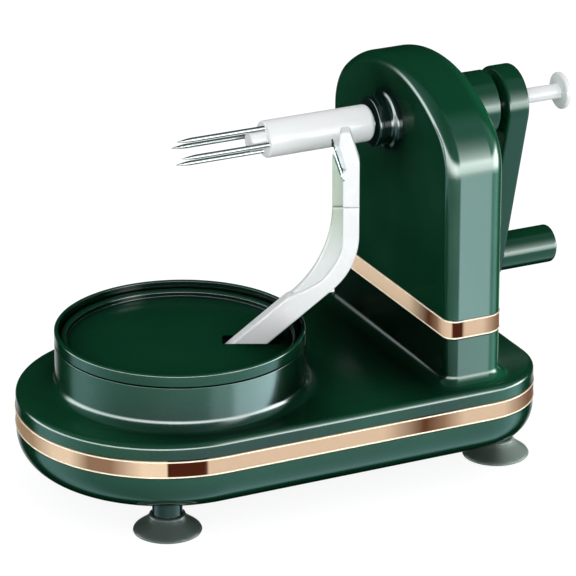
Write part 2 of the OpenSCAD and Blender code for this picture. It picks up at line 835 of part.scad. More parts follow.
// Spool-shaped collar between the column and the fork tube
module fork_collar() {
    lip_r = collar_r - 2.4;
    waist_r = collar_r - 2.8;
    color(DARK) place() along_x(tube_x1 + gap, 0, shaft_z) difference() {
        rotate_extrude() {
            l = collar_l - gap;
            square([waist_r, l]);
            translate([0, 0.8]) square([lip_r, 1.2]);
            square([lip_r - 0.8, 2]);
            translate([lip_r - 0.8, 0.8]) circle(0.8);
            translate([0, l - 2.6]) square([collar_r, 2.6]);
            translate([waist_r, l - 2.6]) mirror([0, 1]) fillet_section(2);
        }
        translate([0, 0, -1]) cylinder(r = shaft_r + gap, h = collar_l);
        translate([0, 0, 2]) cylinder(r = shaft_r + run_fit + bush_t, h = collar_l);
    }
}

// Bushes that the crank shaft turns in
module front_bush() {
    color(NYLON) place() along_x(tube_x1 + gap + 2, 0, shaft_z)
        tube(shaft_r + run_fit + bush_t, shaft_r + run_fit, collar_l - gap - 2 + shell_t);
}
module rear_bush() {
    color(NYLON) place() along_x(column_x1 - cover_t, 0, shaft_z)
        tube(shaft_r + run_fit + bush_t, shaft_r + run_fit, hub_l + cover_t);
}

// Bracket that holds the spindle under the worm wheel
module spindle_bracket() {
    plate_x = bay_x0 + bracket_post_l;
    side = spindle_y - bracket_w / 2;
    color(NYLON) place() difference() {
        union() {
            translate([plate_x, side, bracket_z - bracket_foot])
                cube([bracket_plate_t, bracket_w, bracket_h + bracket_foot]);
            translate([plate_x, side, bracket_z]) cube([bay_x - plate_x, bracket_w, bracket_h]);
            translate([bay_x, spindle_y, bracket_z]) cylinder(d = bracket_w, h = bracket_h);
        }
        translate([bay_x, spindle_y, bracket_z - 1])
            cylinder(r = spindle_r + run_fit + bush_t, h = bracket_h + 2);
        for (y = bracket_screw_y)
            along_x(plate_x - 1, y, bracket_screw_z)
                cylinder(r = small_screw_r + seat_fit, h = bracket_plate_t + 2);
    }
}
module bracket_screws() {
    color(STEEL) place() for (y = bracket_screw_y)
        along_x(bay_x0 + bracket_post_l + bracket_plate_t, y, bracket_screw_z)
            screw(small_screw_r, small_screw_l, small_head_r, small_head_h);
}
module spindle_bush() {
    color(NYLON) place() translate([bay_x, spindle_y, bracket_z])
        tube(spindle_r + run_fit + bush_t, spindle_r + run_fit, bracket_h);
}

// Fixed pins that the turntable and the idler gear turn on
module turntable_axle() {
    color(STEEL) place() translate([0, 0, base_z + 1.6])
        cylinder(r = axle_r, h = lid_under - pad_t - base_z - 4);
}
module idler_axle() {
    color(STEEL) place() translate([idler_x, idler_y, base_z + 1.6])
        cylinder(r = axle_r, h = gear_z + gear_h + 3 - base_z - 1.6);
}

// Hollow shaft from the fork to the crank
module crank_shaft() {
    x0 = tube_x0 + fork_bore_l;
    color(STEEL) place() along_x(x0, 0, shaft_z) tube(shaft_r, rod_r + run_fit, crank_x1 - x0);
}

// Worm with one left-hand thread
module worm() {
    step = 15;
    color(NYLON) place() along_x(bay_x - worm_l / 2, 0, shaft_z) difference() {
        rotate([0, 0, 270 + 180 * worm_turns])
            linear_extrude(worm_l, twist = 360 * worm_turns, slices = 15 * worm_turns, $fn = 24)
                polygon([for (a = [-180 : step : 180 - step]) worm_radius(a) * [cos(a), sin(a)]]);
        translate([0, 0, -1]) cylinder(r = shaft_r, h = worm_l + 2);
    }
}

// Tube that carries the prongs
module fork_tube() {
    edge = 1.5;
    color(WHITE) place() along_x(tube_x0, 0, shaft_z) difference() {
        rotate_extrude() disc_section(fork_tube_r, fork_tube_l, edge);
        translate([0, 0, -1]) cylinder(r = ejector_r + run_fit, h = fork_bore_l - 2);
        cylinder(r = rod_r + gap, h = fork_tube_l);
        translate([0, 0, fork_bore_l]) cylinder(r = shaft_r, h = fork_tube_l);
        for (a = [0 : 90 : 270])
            rotate([0, 0, a + prong_tilt]) translate([prong_circle_r, 0, -1])
                cylinder(d = prong_d, h = prong_seat + 1);
    }
}

// Four pointed prongs
module fork_prongs() {
    color(STEEL) place() along_x(tube_x0 - prong_l, 0, shaft_z) for (a = [0 : 90 : 270])
        rotate([0, 0, a + prong_tilt]) translate([prong_circle_r, 0, 0]) {
            cylinder(d1 = 0.3, d2 = prong_d, h = prong_taper);
            translate([0, 0, prong_taper]) cylinder(d = prong_d, h = prong_l + prong_seat - prong_taper);
        }
}

// Ring between the hub and the crank arm
module crank_spacer() {
    color(DARK) place() along_x(hub_x + gap, 0, shaft_z) tube(shaft_r + 4, shaft_r, spacer_l);
}

// Crank arm with its head on the shaft
module crank_arm() {
    taper = asin((crank_head_r - crank_end_r) / crank_radius);
    color(GREEN) place() along_x(crank_x0, 0, shaft_z) rotate([0, 0, crank_angle]) difference() {
        linear_extrude(crank_t) {
            circle(crank_head_r);
            translate([crank_radius, 0]) circle(crank_end_r);
            polygon([
                for (s = [-1, 1], k = [0, 1])
                    let (
                        first = s < 0 ? k : 1 - k,
                        r = first == 0 ? crank_head_r : crank_end_r
                    )
                    [first * crank_radius + r * sin(taper), s * r * cos(taper)]
            ]);
        }
        translate([0, 0, -1]) cylinder(r = shaft_r, h = crank_t + 2);
        translate([crank_radius, 0, -1]) cylinder(r = bolt_r, h = crank_t + 2);
        translate([0, crank_head_r + 1, crank_t / 2]) rotate([90, 0, 0])
            cylinder(r = screw_r, h = crank_head_r - shaft_r + 1);
    }
}

// Grub screw that fixes the crank arm to the shaft
module crank_set_screw() {
    l = crank_head_r - shaft_r - 1.5;
    color(STEEL) place() along_x(crank_x0, 0, shaft_z) rotate([0, 0, crank_angle])
        translate([0, shaft_r + l, crank_t / 2]) rotate([90, 0, 0]) difference() {
            cylinder(r = screw_r, h = l);
            translate([0, 0, -1]) cylinder(r = 0.9, h = 3, $fn = 6);
        }
}

// Places a piece on the handle's axis, from the crank arm's outer face
module handle_axis(x) {
    along_x(x, 0, shaft_z) rotate([0, 0, crank_angle]) translate([crank_radius, 0, 0]) children();
}

// Bolt that the handle turns on, screwed into the crank arm
module handle_bolt() {
    shank = handle_l - bolt_well;
    color(STEEL) place() handle_axis(crank_x0 + 1) {
        cylinder(r = bolt_r, h = crank_t - 1 + gap + shank + 0.5);
        translate([0, 0, crank_t - 1 + gap + shank + 0.1]) cylinder(r = bolt_head_r, h = bolt_head_h);
    }
}

// Grip that turns on the handle bolt
module crank_handle() {
    edge = 1.6;
    color(GREEN) place() handle_axis(handle_x) difference() {
        rotate_extrude() disc_section(handle_r, handle_l, edge);
        translate([0, 0, -1]) cylinder(r = bolt_r + run_fit, h = handle_l);
        translate([0, 0, handle_l - bolt_well]) cylinder(r = handle_cap_r, h = bolt_well + 1);
    }
}

// Plug that closes the end of the grip
module handle_cap() {
    color(GREEN) place() handle_axis(handle_x + handle_l - handle_cap_t - gap)
        cylinder(r = handle_cap_r, h = handle_cap_t);
}

// Rod through the shaft
module push_rod() {
    color(WHITE) place() along_x(rod_x0, 0, shaft_z)
        cylinder(r = rod_r, h = disc_x + disc_t / 2 - rod_x0);
}

// Disc on the rod's end
module push_disc() {
    edge = disc_t / 2 - 0.1;
    color(WHITE) place() along_x(disc_x, 0, shaft_z) difference() {
        rotate_extrude() disc_section(disc_r, disc_t, edge);
        translate([0, 0, -1]) cylinder(r = rod_r, h = disc_t / 2 + 1);
    }
}

// Plunger between the prongs
module ejector() {
    edge = 0.5;
    color(WHITE) place() along_x(tube_x0 - ejector_out, 0, shaft_z) difference() {
        rotate_extrude() disc_section(ejector_r, ejector_l, edge);
        translate([0, 0, 12]) cylinder(r = rod_r, h = ejector_l);
    }
}

// Upright spindle in the column
module spindle() {
    color(STEEL) place() translate([bay_x, spindle_y, floor_z + 0.3])
        cylinder(r = spindle_r, h = shaft_z + wheel_h / 2 + 1 - floor_z);
}

// Worm wheel on the spindle
module worm_wheel() {
    color(NYLON) place() translate([bay_x, spindle_y, shaft_z - wheel_h / 2])
        gear(
            wheel_teeth, worm_module, wheel_h, spindle_r, -90,
            spindle_r + wheel_hub_wall, -wheel_hub_l, wheel_h
        );
}

// Pinion at the foot of the spindle
module spindle_pinion() {
    color(NYLON) place() translate([bay_x, spindle_y, gear_z])
        gear(pinion_teeth, gear_module, gear_h, spindle_r, pinion_phase, spindle_r + 3, 0, gear_h + 5);
}

// Gear between the pinion and the turntable gear
module idler_gear() {
    color(NYLON) place() translate([idler_x, idler_y, gear_z])
        gear(idler_teeth, gear_module, gear_h, axle_r + run_fit, idler_phase, hub_tube_r, 0, gear_h + 1);
}

// Gear under the turntable with the tube that carries the lid
module turntable_gear() {
    tube_h = lid_under - pad_t - gear_z;
    color(NYLON) place() translate([0, 0, gear_z]) difference() {
        union() {
            gear(turntable_teeth, gear_module, gear_h, axle_r + run_fit, 0, hub_tube_r, 0, tube_h);
            translate([0, 0, tube_h - 3]) tube(flange_r, hub_tube_r - 1, 3);
        }
        for (a = [60 : 120 : 300])
            rotate([0, 0, a]) translate([flange_r - 3, 0, tube_h - 4])
                cylinder(r = small_screw_r + seat_fit, h = 5);
    }
}

// Screws that hold the gear's flange to the lid
module turntable_screws() {
    color(STEEL) place() for (a = [60 : 120 : 300])
        rotate([0, 0, a]) translate([flange_r - 3, 0, lid_under - pad_t - 3]) mirror([0, 0, 1])
            screw(small_screw_r, small_screw_l, small_head_r, small_head_h);
}

// Rotating cap of the drum with the slot and the lugs for the arm
module turntable() {
    ledge_r = drum_r - rim_t;
    well_r = ledge_r - ledge_w;
    lug_y = arm_w / 2 + gap;
    color(GREEN) place() difference() {
        union() {
            rotate_extrude() {
                translate([well_r, drum_top + gap])
                    square([drum_r - well_r, rim_z - ledge_drop - drum_top - gap]);
                translate([ledge_r, drum_top + gap]) square([rim_t, cap_h - gap]);
                translate([0, lid_under]) square([drum_r - shell_t - gap, lid_t]);
                translate([well_r, lid_under])
                    square([drum_r - shell_t - gap - well_r, drum_top - lid_under + 1]);
            }
            translate([0, 0, lid_under - pad_t]) cylinder(r = flange_r, h = pad_t + 1);
            arm_plane() for (s = [0, 1])
                mirror([0, 0, s]) translate([pivot_out, pivot_z, lug_y]) {
                    cylinder(r = lug_r, h = lug_t);
                    translate([-lug_r, 0, 0]) cube([2 * lug_r, lid_under - pivot_z + 1, lug_t]);
                }
        }
        arm_plane() translate([0, 0, -arm_w / 2 - slot_play]) {
            translate([slot_in, lid_under - 2, 0])
                cube([slot_out - slot_in, lid_t + 4, arm_w + 2 * slot_play]);
        }
        arm_plane() translate([pivot_out, pivot_z, -30]) cylinder(r = pin_r + run_fit, h = 60);
        for (a = [60 : 120 : 300])
            rotate([0, 0, a]) translate([flange_r - 3, 0, lid_under - pad_t - 1])
                cylinder(r = small_screw_r, h = small_screw_l - 2);
    }
}

// Points along the arm spring's wire: the coil's angle runs from leg to leg
spring_start = arm_w / 2 + gap + lug_t + 0.3 + spring_wire / 2;
spring_steps = spring_turns * spring_rings;
function spring_angle(i) = 90 + 360 * min(max(i, 0), spring_steps) / spring_rings;
function spring_lead(i) = i < 0 ? -spring_leg : i > spring_steps ? spring_leg : 0;
function spring_point(i) =
    let (a = spring_angle(i), lead = spring_lead(i))
    [
        spring_r * cos(a) - lead * sin(a),
        spring_r * sin(a) + lead * cos(a),
        spring_start + spring_pitch * (a - 90) / 360
    ];
function spring_ring(i) =
    let (a = spring_angle(i), p = spring_point(i))
    [
        for (k = [0 : 60 : 300])
            p + spring_wire / 2 * [cos(k) * cos(a), cos(k) * sin(a), sin(k)]
    ];
spring_gap = min([
    for (i = [-1 : spring_steps + 1], j = [i + spring_rings / 2 : spring_steps + 1])
        norm(spring_point(i) - spring_point(j)) - spring_wire
]);
echo(spring_gap = spring_gap);

// Coil spring on the pivot pin
module arm_spring() {
    rings = [for (i = [-1 : spring_steps + 1]) each spring_ring(i)];
    last = spring_steps + 2;
    sides = 6;
    faces = [
        for (i = [0 : last - 1], k = [0 : sides - 1])
            let (a = i * sides + k, b = i * sides + (k + 1) % sides)
            each [[a, b, b + sides], [a, b + sides, a + sides]],
        for (k = [1 : sides - 2])
            each [[0, k + 1, k], [last * sides, last * sides + k, last * sides + k + 1]]
    ];
    color(STEEL) place() arm_plane() translate([pivot_out, pivot_z, 0])
        polyhedron(rings, faces);
}

// Outline of the arm's thick rib, from the pivot to the seam
module rib_outline() {
    translate([pivot_out, pivot_z]) circle(arm_depth / 2);
    translate(foot_low) rotate(arm_slope) square([foot_l, arm_depth]);
    difference() {
        translate([bend_x, bend_z]) circle(arm_bend_r);
        translate([bend_x, bend_z]) circle(arm_bend_r - rib_depth);
        translate([bend_x, bend_z]) rotate(arm_slope - 90) translate([-2 * arm_bend_r, -2 * arm_bend_r])
            square([4 * arm_bend_r, 2 * arm_bend_r]);
        translate([bend_x - 2 * arm_bend_r, bend_z]) square(4 * arm_bend_r);
    }
    translate([rib_x, bend_z - 0.5]) square([rib_depth, seam_z - bend_z + 0.5]);
}

// Outline of the thin web inside the bend
module web_outline() {
    difference() {
        union() {
            difference() {
                translate([bend_x, bend_z]) circle(arm_bend_r - 1);
                translate([bend_x - 2 * arm_bend_r, bend_z]) square(4 * arm_bend_r);
            }
            translate([bend_x, bend_z - 1]) square([arm_bend_r - 1, min(web_z, seam_z) - bend_z + 1]);
            translate([stem_x, bend_z]) square([stem_depth - 1, seam_z - bend_z]);
        }
        translate([stem_x - web_r, web_z]) circle(web_r);
        translate([stem_x - web_r + web_r * sin(arm_slope), web_z - web_r * cos(arm_slope)])
            rotate(arm_slope)
            translate([-2 * arm_bend_r, 0]) square(2 * arm_bend_r);
    }
}

// White arm that leans out of the turntable's slot
module peeling_arm() {
    color(WHITE) place() arm_plane() difference() {
        union() {
            translate([0, 0, -arm_w / 2]) linear_extrude(arm_w) rib_outline();
            translate([0, 0, -web_t / 2]) linear_extrude(web_t) web_outline();
            translate([rib_x + 1.6, seam_z - 1, -arm_w / 4])
                cube([tenon_w, tenon_h + 1, arm_w / 2]);
        }
        translate([pivot_out, pivot_z, -arm_w]) cylinder(r = pin_r, h = 2 * arm_w);
    }
}

// Clip-on head above the seam, leaning inwards at its top
module cutter_head() {
    low = seam_z + 0.2;
    top = seam_z + head_l;
    color(WHITE) place() arm_plane() {
        difference() {
            translate([0, 0, -arm_w / 2]) linear_extrude(arm_w) polygon([
                [rib_x, low], [arm_reach, low], [arm_reach, top - 13.9],
                [arm_reach - 4.4, top], [stem_x + 3.4, top - 0.6], [rib_x - 1.8, top - 7], [rib_x, top - 14]
            ]);
            translate([rib_x + 1.6 - seat_fit, seam_z - 1, -arm_w / 4 - seat_fit])
                cube([tenon_w + 2 * seat_fit, tenon_h + 1 + 2 * seat_fit, arm_w / 2 + 2 * seat_fit]);
            translate([blade_x, blade_z, -arm_w]) rotate([0, 0, blade_lean])
                translate([-4, -0.3, 0]) cube([4 + blade_t / 2 + seat_fit, blade_l + 8, 2 * arm_w]);
            translate([blade_x, blade_z, 0]) rotate([0, 0, blade_lean]) for (s = [-1, 1])
                translate([0, 2.2, s * arm_w / 4]) rotate([0, 90, 0]) cylinder(r = rivet_r, h = 4);
        }
        translate([0, 0, -web_t / 2]) linear_extrude(web_t) polygon([
            [stem_x, low], [rib_x + 1, low], [rib_x + 1, blade_z - 0.8],
            guard_low, [guard_tip, guard_high], [stem_x, guard_high]
        ]);
    }
}

// Thin blade with its cutting slot
module peeling_blade() {
    blade_w = arm_w + 2;
    color(STEEL) place() arm_plane() translate([blade_x, blade_z, 0])
        rotate([0, 0, blade_lean]) difference() {
        translate([-blade_t / 2, 0, -blade_w / 2]) cube([blade_t, blade_l, blade_w]);
        translate([-2, blade_l - 5.5, -blade_w / 2 + 1.2]) cube([4, 2.4, blade_w - 2.4]);
        for (s = [-1, 1])
            translate([-2, 2.2, s * arm_w / 4]) rotate([0, 90, 0]) cylinder(r = rivet_r, h = 4);
    }
}

// Rivets that hold the blade
module blade_rivets() {
    color(STEEL) place() arm_plane() translate([blade_x, blade_z, 0])
        rotate([0, 0, blade_lean]) for (s = [-1, 1])
        translate([-blade_t / 2, 2.2, s * arm_w / 4]) rotate([0, 90, 0]) {
            translate([0, 0, -0.5]) cylinder(r = rivet_r + 0.5, h = 0.5);
            cylinder(r = rivet_r, h = 3);
        }
}

// Pin that the arm swings on
module arm_pivot_pin() {
    half = arm_w / 2 + gap + lug_t;
    color(STEEL) place() arm_plane() translate([pivot_out, pivot_z, -half - 0.6])
        cylinder(r = pin_r, h = 2 * half + 1.2 + spring_pitch * spring_turns + 1.5);
}

base_tray();
base_cover();
base_trim_band();
base_screws();
suction_cup_front_left();
suction_cup_front_right();
suction_cup_rear_left();
suction_cup_rear_right();
column_housing();
column_trim_band();
column_rear_cover();
rear_cover_screws();
column_screws();
fork_collar();
front_bush();
rear_bush();
spindle_bracket();
bracket_screws();
spindle_bush();
turntable_axle();
idler_axle();
crank_shaft();
worm();
fork_tube();
fork_prongs();
crank_spacer();
crank_arm();
crank_set_screw();
handle_bolt();
crank_handle();
handle_cap();
push_rod();
push_disc();
ejector();
spindle();
worm_wheel();
spindle_pinion();
idler_gear();
turntable();
turntable_gear();
turntable_screws();
arm_spring();
peeling_arm();
cutter_head();
peeling_blade();
blade_rivets();
arm_pivot_pin();
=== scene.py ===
import bpy
import bmesh
import json
import math
import numpy as np
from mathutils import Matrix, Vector


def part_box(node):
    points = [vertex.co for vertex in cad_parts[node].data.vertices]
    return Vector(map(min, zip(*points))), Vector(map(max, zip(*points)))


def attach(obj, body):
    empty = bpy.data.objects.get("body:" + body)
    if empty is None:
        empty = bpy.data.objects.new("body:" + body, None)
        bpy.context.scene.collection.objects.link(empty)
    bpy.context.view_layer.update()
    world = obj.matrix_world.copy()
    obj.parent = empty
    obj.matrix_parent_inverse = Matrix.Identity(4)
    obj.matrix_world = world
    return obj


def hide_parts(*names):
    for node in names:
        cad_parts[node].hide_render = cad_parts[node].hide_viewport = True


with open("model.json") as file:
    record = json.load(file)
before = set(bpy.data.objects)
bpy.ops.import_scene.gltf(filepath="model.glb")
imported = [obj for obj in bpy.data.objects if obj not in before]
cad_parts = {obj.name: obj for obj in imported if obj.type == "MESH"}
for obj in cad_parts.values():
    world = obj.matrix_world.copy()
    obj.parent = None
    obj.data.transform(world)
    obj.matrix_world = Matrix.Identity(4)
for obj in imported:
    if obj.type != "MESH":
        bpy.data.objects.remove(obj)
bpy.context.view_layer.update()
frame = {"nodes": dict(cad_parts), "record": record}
nodes = frame["nodes"]
slotOf = {s["node"]: s["material_slot"] for s in frame["record"]["subparts"]}
print("frame loaded with", len(nodes), "nodes")

tableLow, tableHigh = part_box("turntable")
midX = -500 * (tableLow.x + tableHigh.x)  # mm from the drum axis to the middle of the peeler
topZ = 47.0  # top plate
shaftZ = 153.5  # fork axis
armTurn = math.radians(-25.8)  # where the arm is parked
chamfer = 0.3  # broken edges beside the joints
halfLength = 0.15  # metres, a little over half the peeler


# shapes

def atPoint(x, y, z):  # mm from the drum axis, to metres in the peeler's frame
    return ((x - midX) / 1000, y / 1000, z / 1000)


def inArmPlane(rho, z, side):
    c, s = math.cos(armTurn), math.sin(armTurn)
    return atPoint(rho * c + side * s, rho * s - side * c, z)


def alongX(x, y=0.0, z=shaftZ):
    return lambda u, v, h: atPoint(x + h, y + u, z + v)


def upright(x, y):
    return lambda u, v, h: atPoint(x + u, y + v, h)


def quarterTurn(steps):  # angles from nothing to a right angle
    return [math.pi / 2 * i / steps for i in range(steps + 1)]


def arc(cx, cy, r, start, end, count):
    out = []
    for i in range(count + 1):
        a = math.radians(start + (end - start) * i / count)
        out.append((cx + r * math.cos(a), cy + r * math.sin(a)))
    return out


def straight(x0, y0, x1, y1, count):  # points of a straight run, without its ends
    return [(x0 + (x1 - x0) * i / count, y0 + (y1 - y0) * i / count) for i in range(1, count)]


def softPath(corners, closed=True, steps=6):  # corners are (x, y, radius)
    out = []
    last = len(corners) - 1
    for i, (x, y, r) in enumerate(corners):
        if r <= 0 or (not closed and i in (0, last)):
            out.append((x, y))
            continue
        here = Vector((x, y))
        back = (Vector(corners[i - 1][:2]) - here).normalized()
        ahead = (Vector(corners[(i + 1) % len(corners)][:2]) - here).normalized()
        half = back.angle(ahead) / 2
        centre = here + (back + ahead).normalized() * (r / math.sin(half))
        first = here + back * (r / math.tan(half)) - centre
        second = here + ahead * (r / math.tan(half)) - centre
        a0 = math.atan2(first.y, first.x)
        turn = (math.atan2(second.y, second.x) - a0 + math.pi) % (2 * math.pi) - math.pi
        for k in range(steps + 1):
            a = a0 + turn * k / steps
            out.append((centre.x + r * math.cos(a), centre.y + r * math.sin(a)))
    return out


def slotPath(x0, x1, half, r):  # rectangle from x0 to x1 with rounded corners
    return softPath([(x0, -half, r), (x1, -half, r), (x1, half, r), (x0, half, r)])


def curveThrough(points, steps=6):  # smooth run through all points
    out = []
    for i in range(len(points) - 1):
        p0 = Vector(points[max(i - 1, 0)])
        p1, p2 = Vector(points[i]), Vector(points[i + 1])
        p3 = Vector(points[min(i + 2, len(points) - 1)])
        for k in range(steps):
            t = k / steps
            p = 0.5 * (2 * p1 + (p2 - p0) * t + (2 * p0 - 5 * p1 + 4 * p2 - p3) * t * t
                       + (3 * p1 - p0 - 3 * p2 + p3) * t ** 3)
            out.append((p.x, p.y))
    out.append(tuple(points[-1]))
    return out


def spin(profile, placer, steps=96, loop=True):  # profile points are (radius, height)
    verts, faces, rings = [], [], []
    for r, h in profile:
        if r < 1e-6:
            rings.append([len(verts)])
            verts.append(placer(0, 0, h))
            continue
        rings.append(list(range(len(verts), len(verts) + steps)))
        for i in range(steps):
            a = 2 * math.pi * i / steps
            verts.append(placer(r * math.cos(a), r * math.sin(a), h))
    pairs = list(zip(rings, rings[1:]))
    if loop:
        pairs.append((rings[-1], rings[0]))
    for a, b in pairs:
        for i in range(steps):
            j = (i + 1) % steps
            if len(a) == 1 and len(b) == 1:
                continue
            if len(a) == 1:
                faces.append((a[0], b[j], b[i]))
            elif len(b) == 1:
                faces.append((a[i], a[j], b[0]))
            else:
                faces.append((a[i], a[j], b[j], b[i]))
    return verts, faces


def loft(rings, caps=False):  # rings of points; joined end to end unless capped
    count = len(rings[0])
    verts = [p for ring in rings for p in ring]
    faces = []
    pairs = list(zip(range(len(rings)), range(1, len(rings))))
    if not caps:
        pairs.append((len(rings) - 1, 0))
    for a, b in pairs:
        for i in range(count):
            j = (i + 1) % count
            faces.append((a * count + i, a * count + j, b * count + j, b * count + i))
    if caps:
        faces.append(tuple(range(count)))
        faces.append(tuple(range((len(rings) - 1) * count, len(rings) * count)))
    return verts, faces


def inward(outline, distance):  # closed outline drawn in along its normals
    area = sum(outline[i - 1][0] * p[1] - p[0] * outline[i - 1][1] for i, p in enumerate(outline))
    sign = 1 if area > 0 else -1
    out = []
    for i, p in enumerate(outline):
        here = Vector(p)
        before = (here - Vector(outline[i - 1])).normalized()
        after = (Vector(outline[(i + 1) % len(outline)]) - here).normalized()
        first, second = Vector((-before.y, before.x)) * sign, Vector((-after.y, after.x)) * sign
        normal = (first + second).normalized()
        moved = here + normal * (distance / max(normal.dot(first), 0.5))  # held back at sharp corners
        out.append((moved.x, moved.y))
    return out


def slab(outline, low, high, edge, placer, steps=4):  # plate with rounded edges
    rings = []
    for a in quarterTurn(steps):
        ring = inward(outline, edge * (1 - math.sin(a)))
        rings.append([placer(u, v, low + edge * (1 - math.cos(a))) for u, v in ring])
    for a in reversed(quarterTurn(steps)):
        ring = inward(outline, edge * (1 - math.sin(a)))
        rings.append([placer(u, v, high - edge * (1 - math.cos(a))) for u, v in ring])
    return loft(rings, caps=True)


def join(parts):
    verts, faces = [], []
    for v, f in parts:
        start = len(verts)
        verts += v
        faces += [tuple(i + start for i in face) for face in f]
    return verts, faces


def settle(mesh, sharp):
    bm = bmesh.new()
    bm.from_mesh(mesh)
    bmesh.ops.remove_doubles(bm, verts=bm.verts, dist=1e-7)
    bmesh.ops.recalc_face_normals(bm, faces=bm.faces)
    bm.to_mesh(mesh)
    bm.free()
    mesh.polygons.foreach_set("use_smooth", [True] * len(mesh.polygons))
    mesh.set_sharp_from_angle(angle=math.radians(sharp))


def meshOf(name, shape, sharp):
    mesh = bpy.data.meshes.new(name)
    mesh.from_pydata(shape[0], [], shape[1])
    settle(mesh, sharp)
    return mesh


def addObject(name, data):
    obj = bpy.data.objects.new(name, data)
    bpy.context.scene.collection.objects.link(obj)
    return obj


def evaluated(obj):
    bpy.context.view_layer.update()
    graph = bpy.context.evaluated_depsgraph_get()
    made = obj.evaluated_get(graph)
    return bpy.data.meshes.new_from_object(made, preserve_all_data_layers=True, depsgraph=graph)


def evenShading(obj):  # the large faces lead the normals at rounded edges
    even = obj.modifiers.new("even", "WEIGHTED_NORMAL")
    even.mode = "FACE_AREA"
    even.keep_sharp = True
    obj.data = evaluated(obj)
    obj.modifiers.clear()


def piece(name, shape, body, finish, stands, sharp=32):  # edges over sharp degrees stay crisp
    mesh = meshOf(name, shape, sharp)
    mesh.materials.append(finish)
    obj = addObject(name, mesh)
    evenShading(obj)
    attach(obj, body)
    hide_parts(*stands)
    return obj


def cutAway(obj, shape, sharp=32):  # takes a closed shape out of a piece
    cutter = addObject("cutter", meshOf("cutter", shape, sharp))
    cut = obj.modifiers.new("cut", "BOOLEAN")
    cut.object = cutter
    cut.operation = "DIFFERENCE"
    cut.solver = "EXACT"
    made = evaluated(obj)
    obj.modifiers.clear()
    obj.data = made
    settle(made, sharp)
    evenShading(obj)
    bpy.data.objects.remove(cutter)


# finishes

noise = {
    "shadeDetail": 5, "roughDetail": 6, "grainDetail": 4, "brushDetail": 5,
    "shadeSpan": (0.32, 0.68), "roughSpan": (0.3, 0.7),  # the part of the noise that is used
}


def newFinish(name):
    mat = bpy.data.materials.new(name)
    mat.use_nodes = True
    tree = mat.node_tree
    return mat, tree, tree.nodes["Principled BSDF"]


def objectPlace(tree):
    return tree.nodes.new("ShaderNodeTexCoord").outputs["Object"]


def dotWith(tree, vector, way):
    node = tree.nodes.new("ShaderNodeVectorMath")
    node.operation = "DOT_PRODUCT"
    node.inputs[1].default_value = way
    tree.links.new(vector, node.inputs[0])
    return node.outputs["Value"]


def reckon(tree, operation, first, second):
    node = tree.nodes.new("ShaderNodeMath")
    node.operation = operation
    tree.links.new(first, node.inputs[0])
    if isinstance(second, (int, float)):
        node.inputs[1].default_value = second
    else:
        tree.links.new(second, node.inputs[1])
    return node.outputs["Value"]


def rescale(tree, value, low, high, newLow=0.0, newHigh=1.0):
    span = tree.nodes.new("ShaderNodeMapRange")
    span.inputs["From Min"].default_value = low
    span.inputs["From Max"].default_value = high
    span.inputs["To Min"].default_value = newLow
    span.inputs["To Max"].default_value = newHigh
    tree.links.new(value, span.inputs["Value"])
    return span.outputs["Result"]


def rampOver(tree, fac, stops):  # stops are (place, color)
    node = tree.nodes.new("ShaderNodeValToRGB")
    ramp = node.color_ramp
    while len(ramp.elements) > 1:
        ramp.elements.remove(ramp.elements[-1])
    for i, (place, color) in enumerate(stops):
        stop = ramp.elements[0] if i == 0 else ramp.elements.new(place)
        stop.position = place
        stop.color = (*color, 1)
    tree.links.new(fac, node.inputs["Fac"])
    return node.outputs["Color"]


def curveOf(tree, value, low, high, stops):  # a value run through (place, strength) stops
    peak = max(strength for place, strength in stops)
    shades = [((place - low) / (high - low), (strength / peak,) * 3) for place, strength in stops]
    color = rampOver(tree, rescale(tree, value, low, high), shades)
    return reckon(tree, "MULTIPLY", color, peak)


def noiseOn(tree, scale, detail, stretch):
    mapping = tree.nodes.new("ShaderNodeMapping")
    mapping.inputs["Scale"].default_value = stretch
    tree.links.new(objectPlace(tree), mapping.inputs["Vector"])
    texture = tree.nodes.new("ShaderNodeTexNoise")
    texture.inputs["Scale"].default_value = scale
    texture.inputs["Detail"].default_value = detail
    tree.links.new(mapping.outputs["Vector"], texture.inputs["Vector"])
    return texture.outputs["Fac"]


def paintCornerShade(tree, color, corners):  # painted shade: darker close to other pieces, by a depth that changes along x
    near = tree.nodes.new("ShaderNodeAmbientOcclusion")
    near.inputs["Distance"].default_value = corners["reach"]
    x = dotWith(tree, objectPlace(tree), (1, 0, 0))
    depth = curveOf(tree, x, -halfLength, halfLength, corners["depth"])
    scale = tree.nodes.new("ShaderNodeVectorMath")
    scale.operation = "SCALE"
    tree.links.new(color, scale.inputs["Vector"])
    tree.links.new(reckon(tree, "POWER", near.outputs["AO"], depth), scale.inputs["Scale"])
    return scale.outputs["Vector"]


def setSkin(tree, skin, color, gloss, grain, look):
    tree.links.new(color, skin.inputs["Base Color"])
    tree.links.new(rescale(tree, gloss, *noise["roughSpan"], *look["rough"]), skin.inputs["Roughness"])
    bump = tree.nodes.new("ShaderNodeBump")
    bump.inputs["Strength"].default_value = look["bump"]
    bump.inputs["Distance"].default_value = look["bumpDepth"]
    tree.links.new(grain, bump.inputs["Height"])
    tree.links.new(bump.outputs["Normal"], skin.inputs["Normal"])
    for socket, value in look["sockets"].items():
        skin.inputs[socket].default_value = value


def makeFinish(name, look):
    mat, tree, skin = newFinish(name)
    stretch = look.get("stretch", (1, 1, 1))
    shade = noiseOn(tree, look["shadeScale"], noise["shadeDetail"], stretch)
    color = rampOver(tree, shade, list(zip(noise["shadeSpan"], (look["dark"], look["light"]))))
    # painted shade close to other pieces, from the look's corners
    if "corners" in look:
        color = paintCornerShade(tree, color, look["corners"])
    gloss = noiseOn(tree, look["glossScale"], noise["roughDetail"], stretch)
    grain = noiseOn(tree, look["grainScale"], noise["grainDetail"], stretch)
    setSkin(tree, skin, color, gloss, grain, look)
    return mat


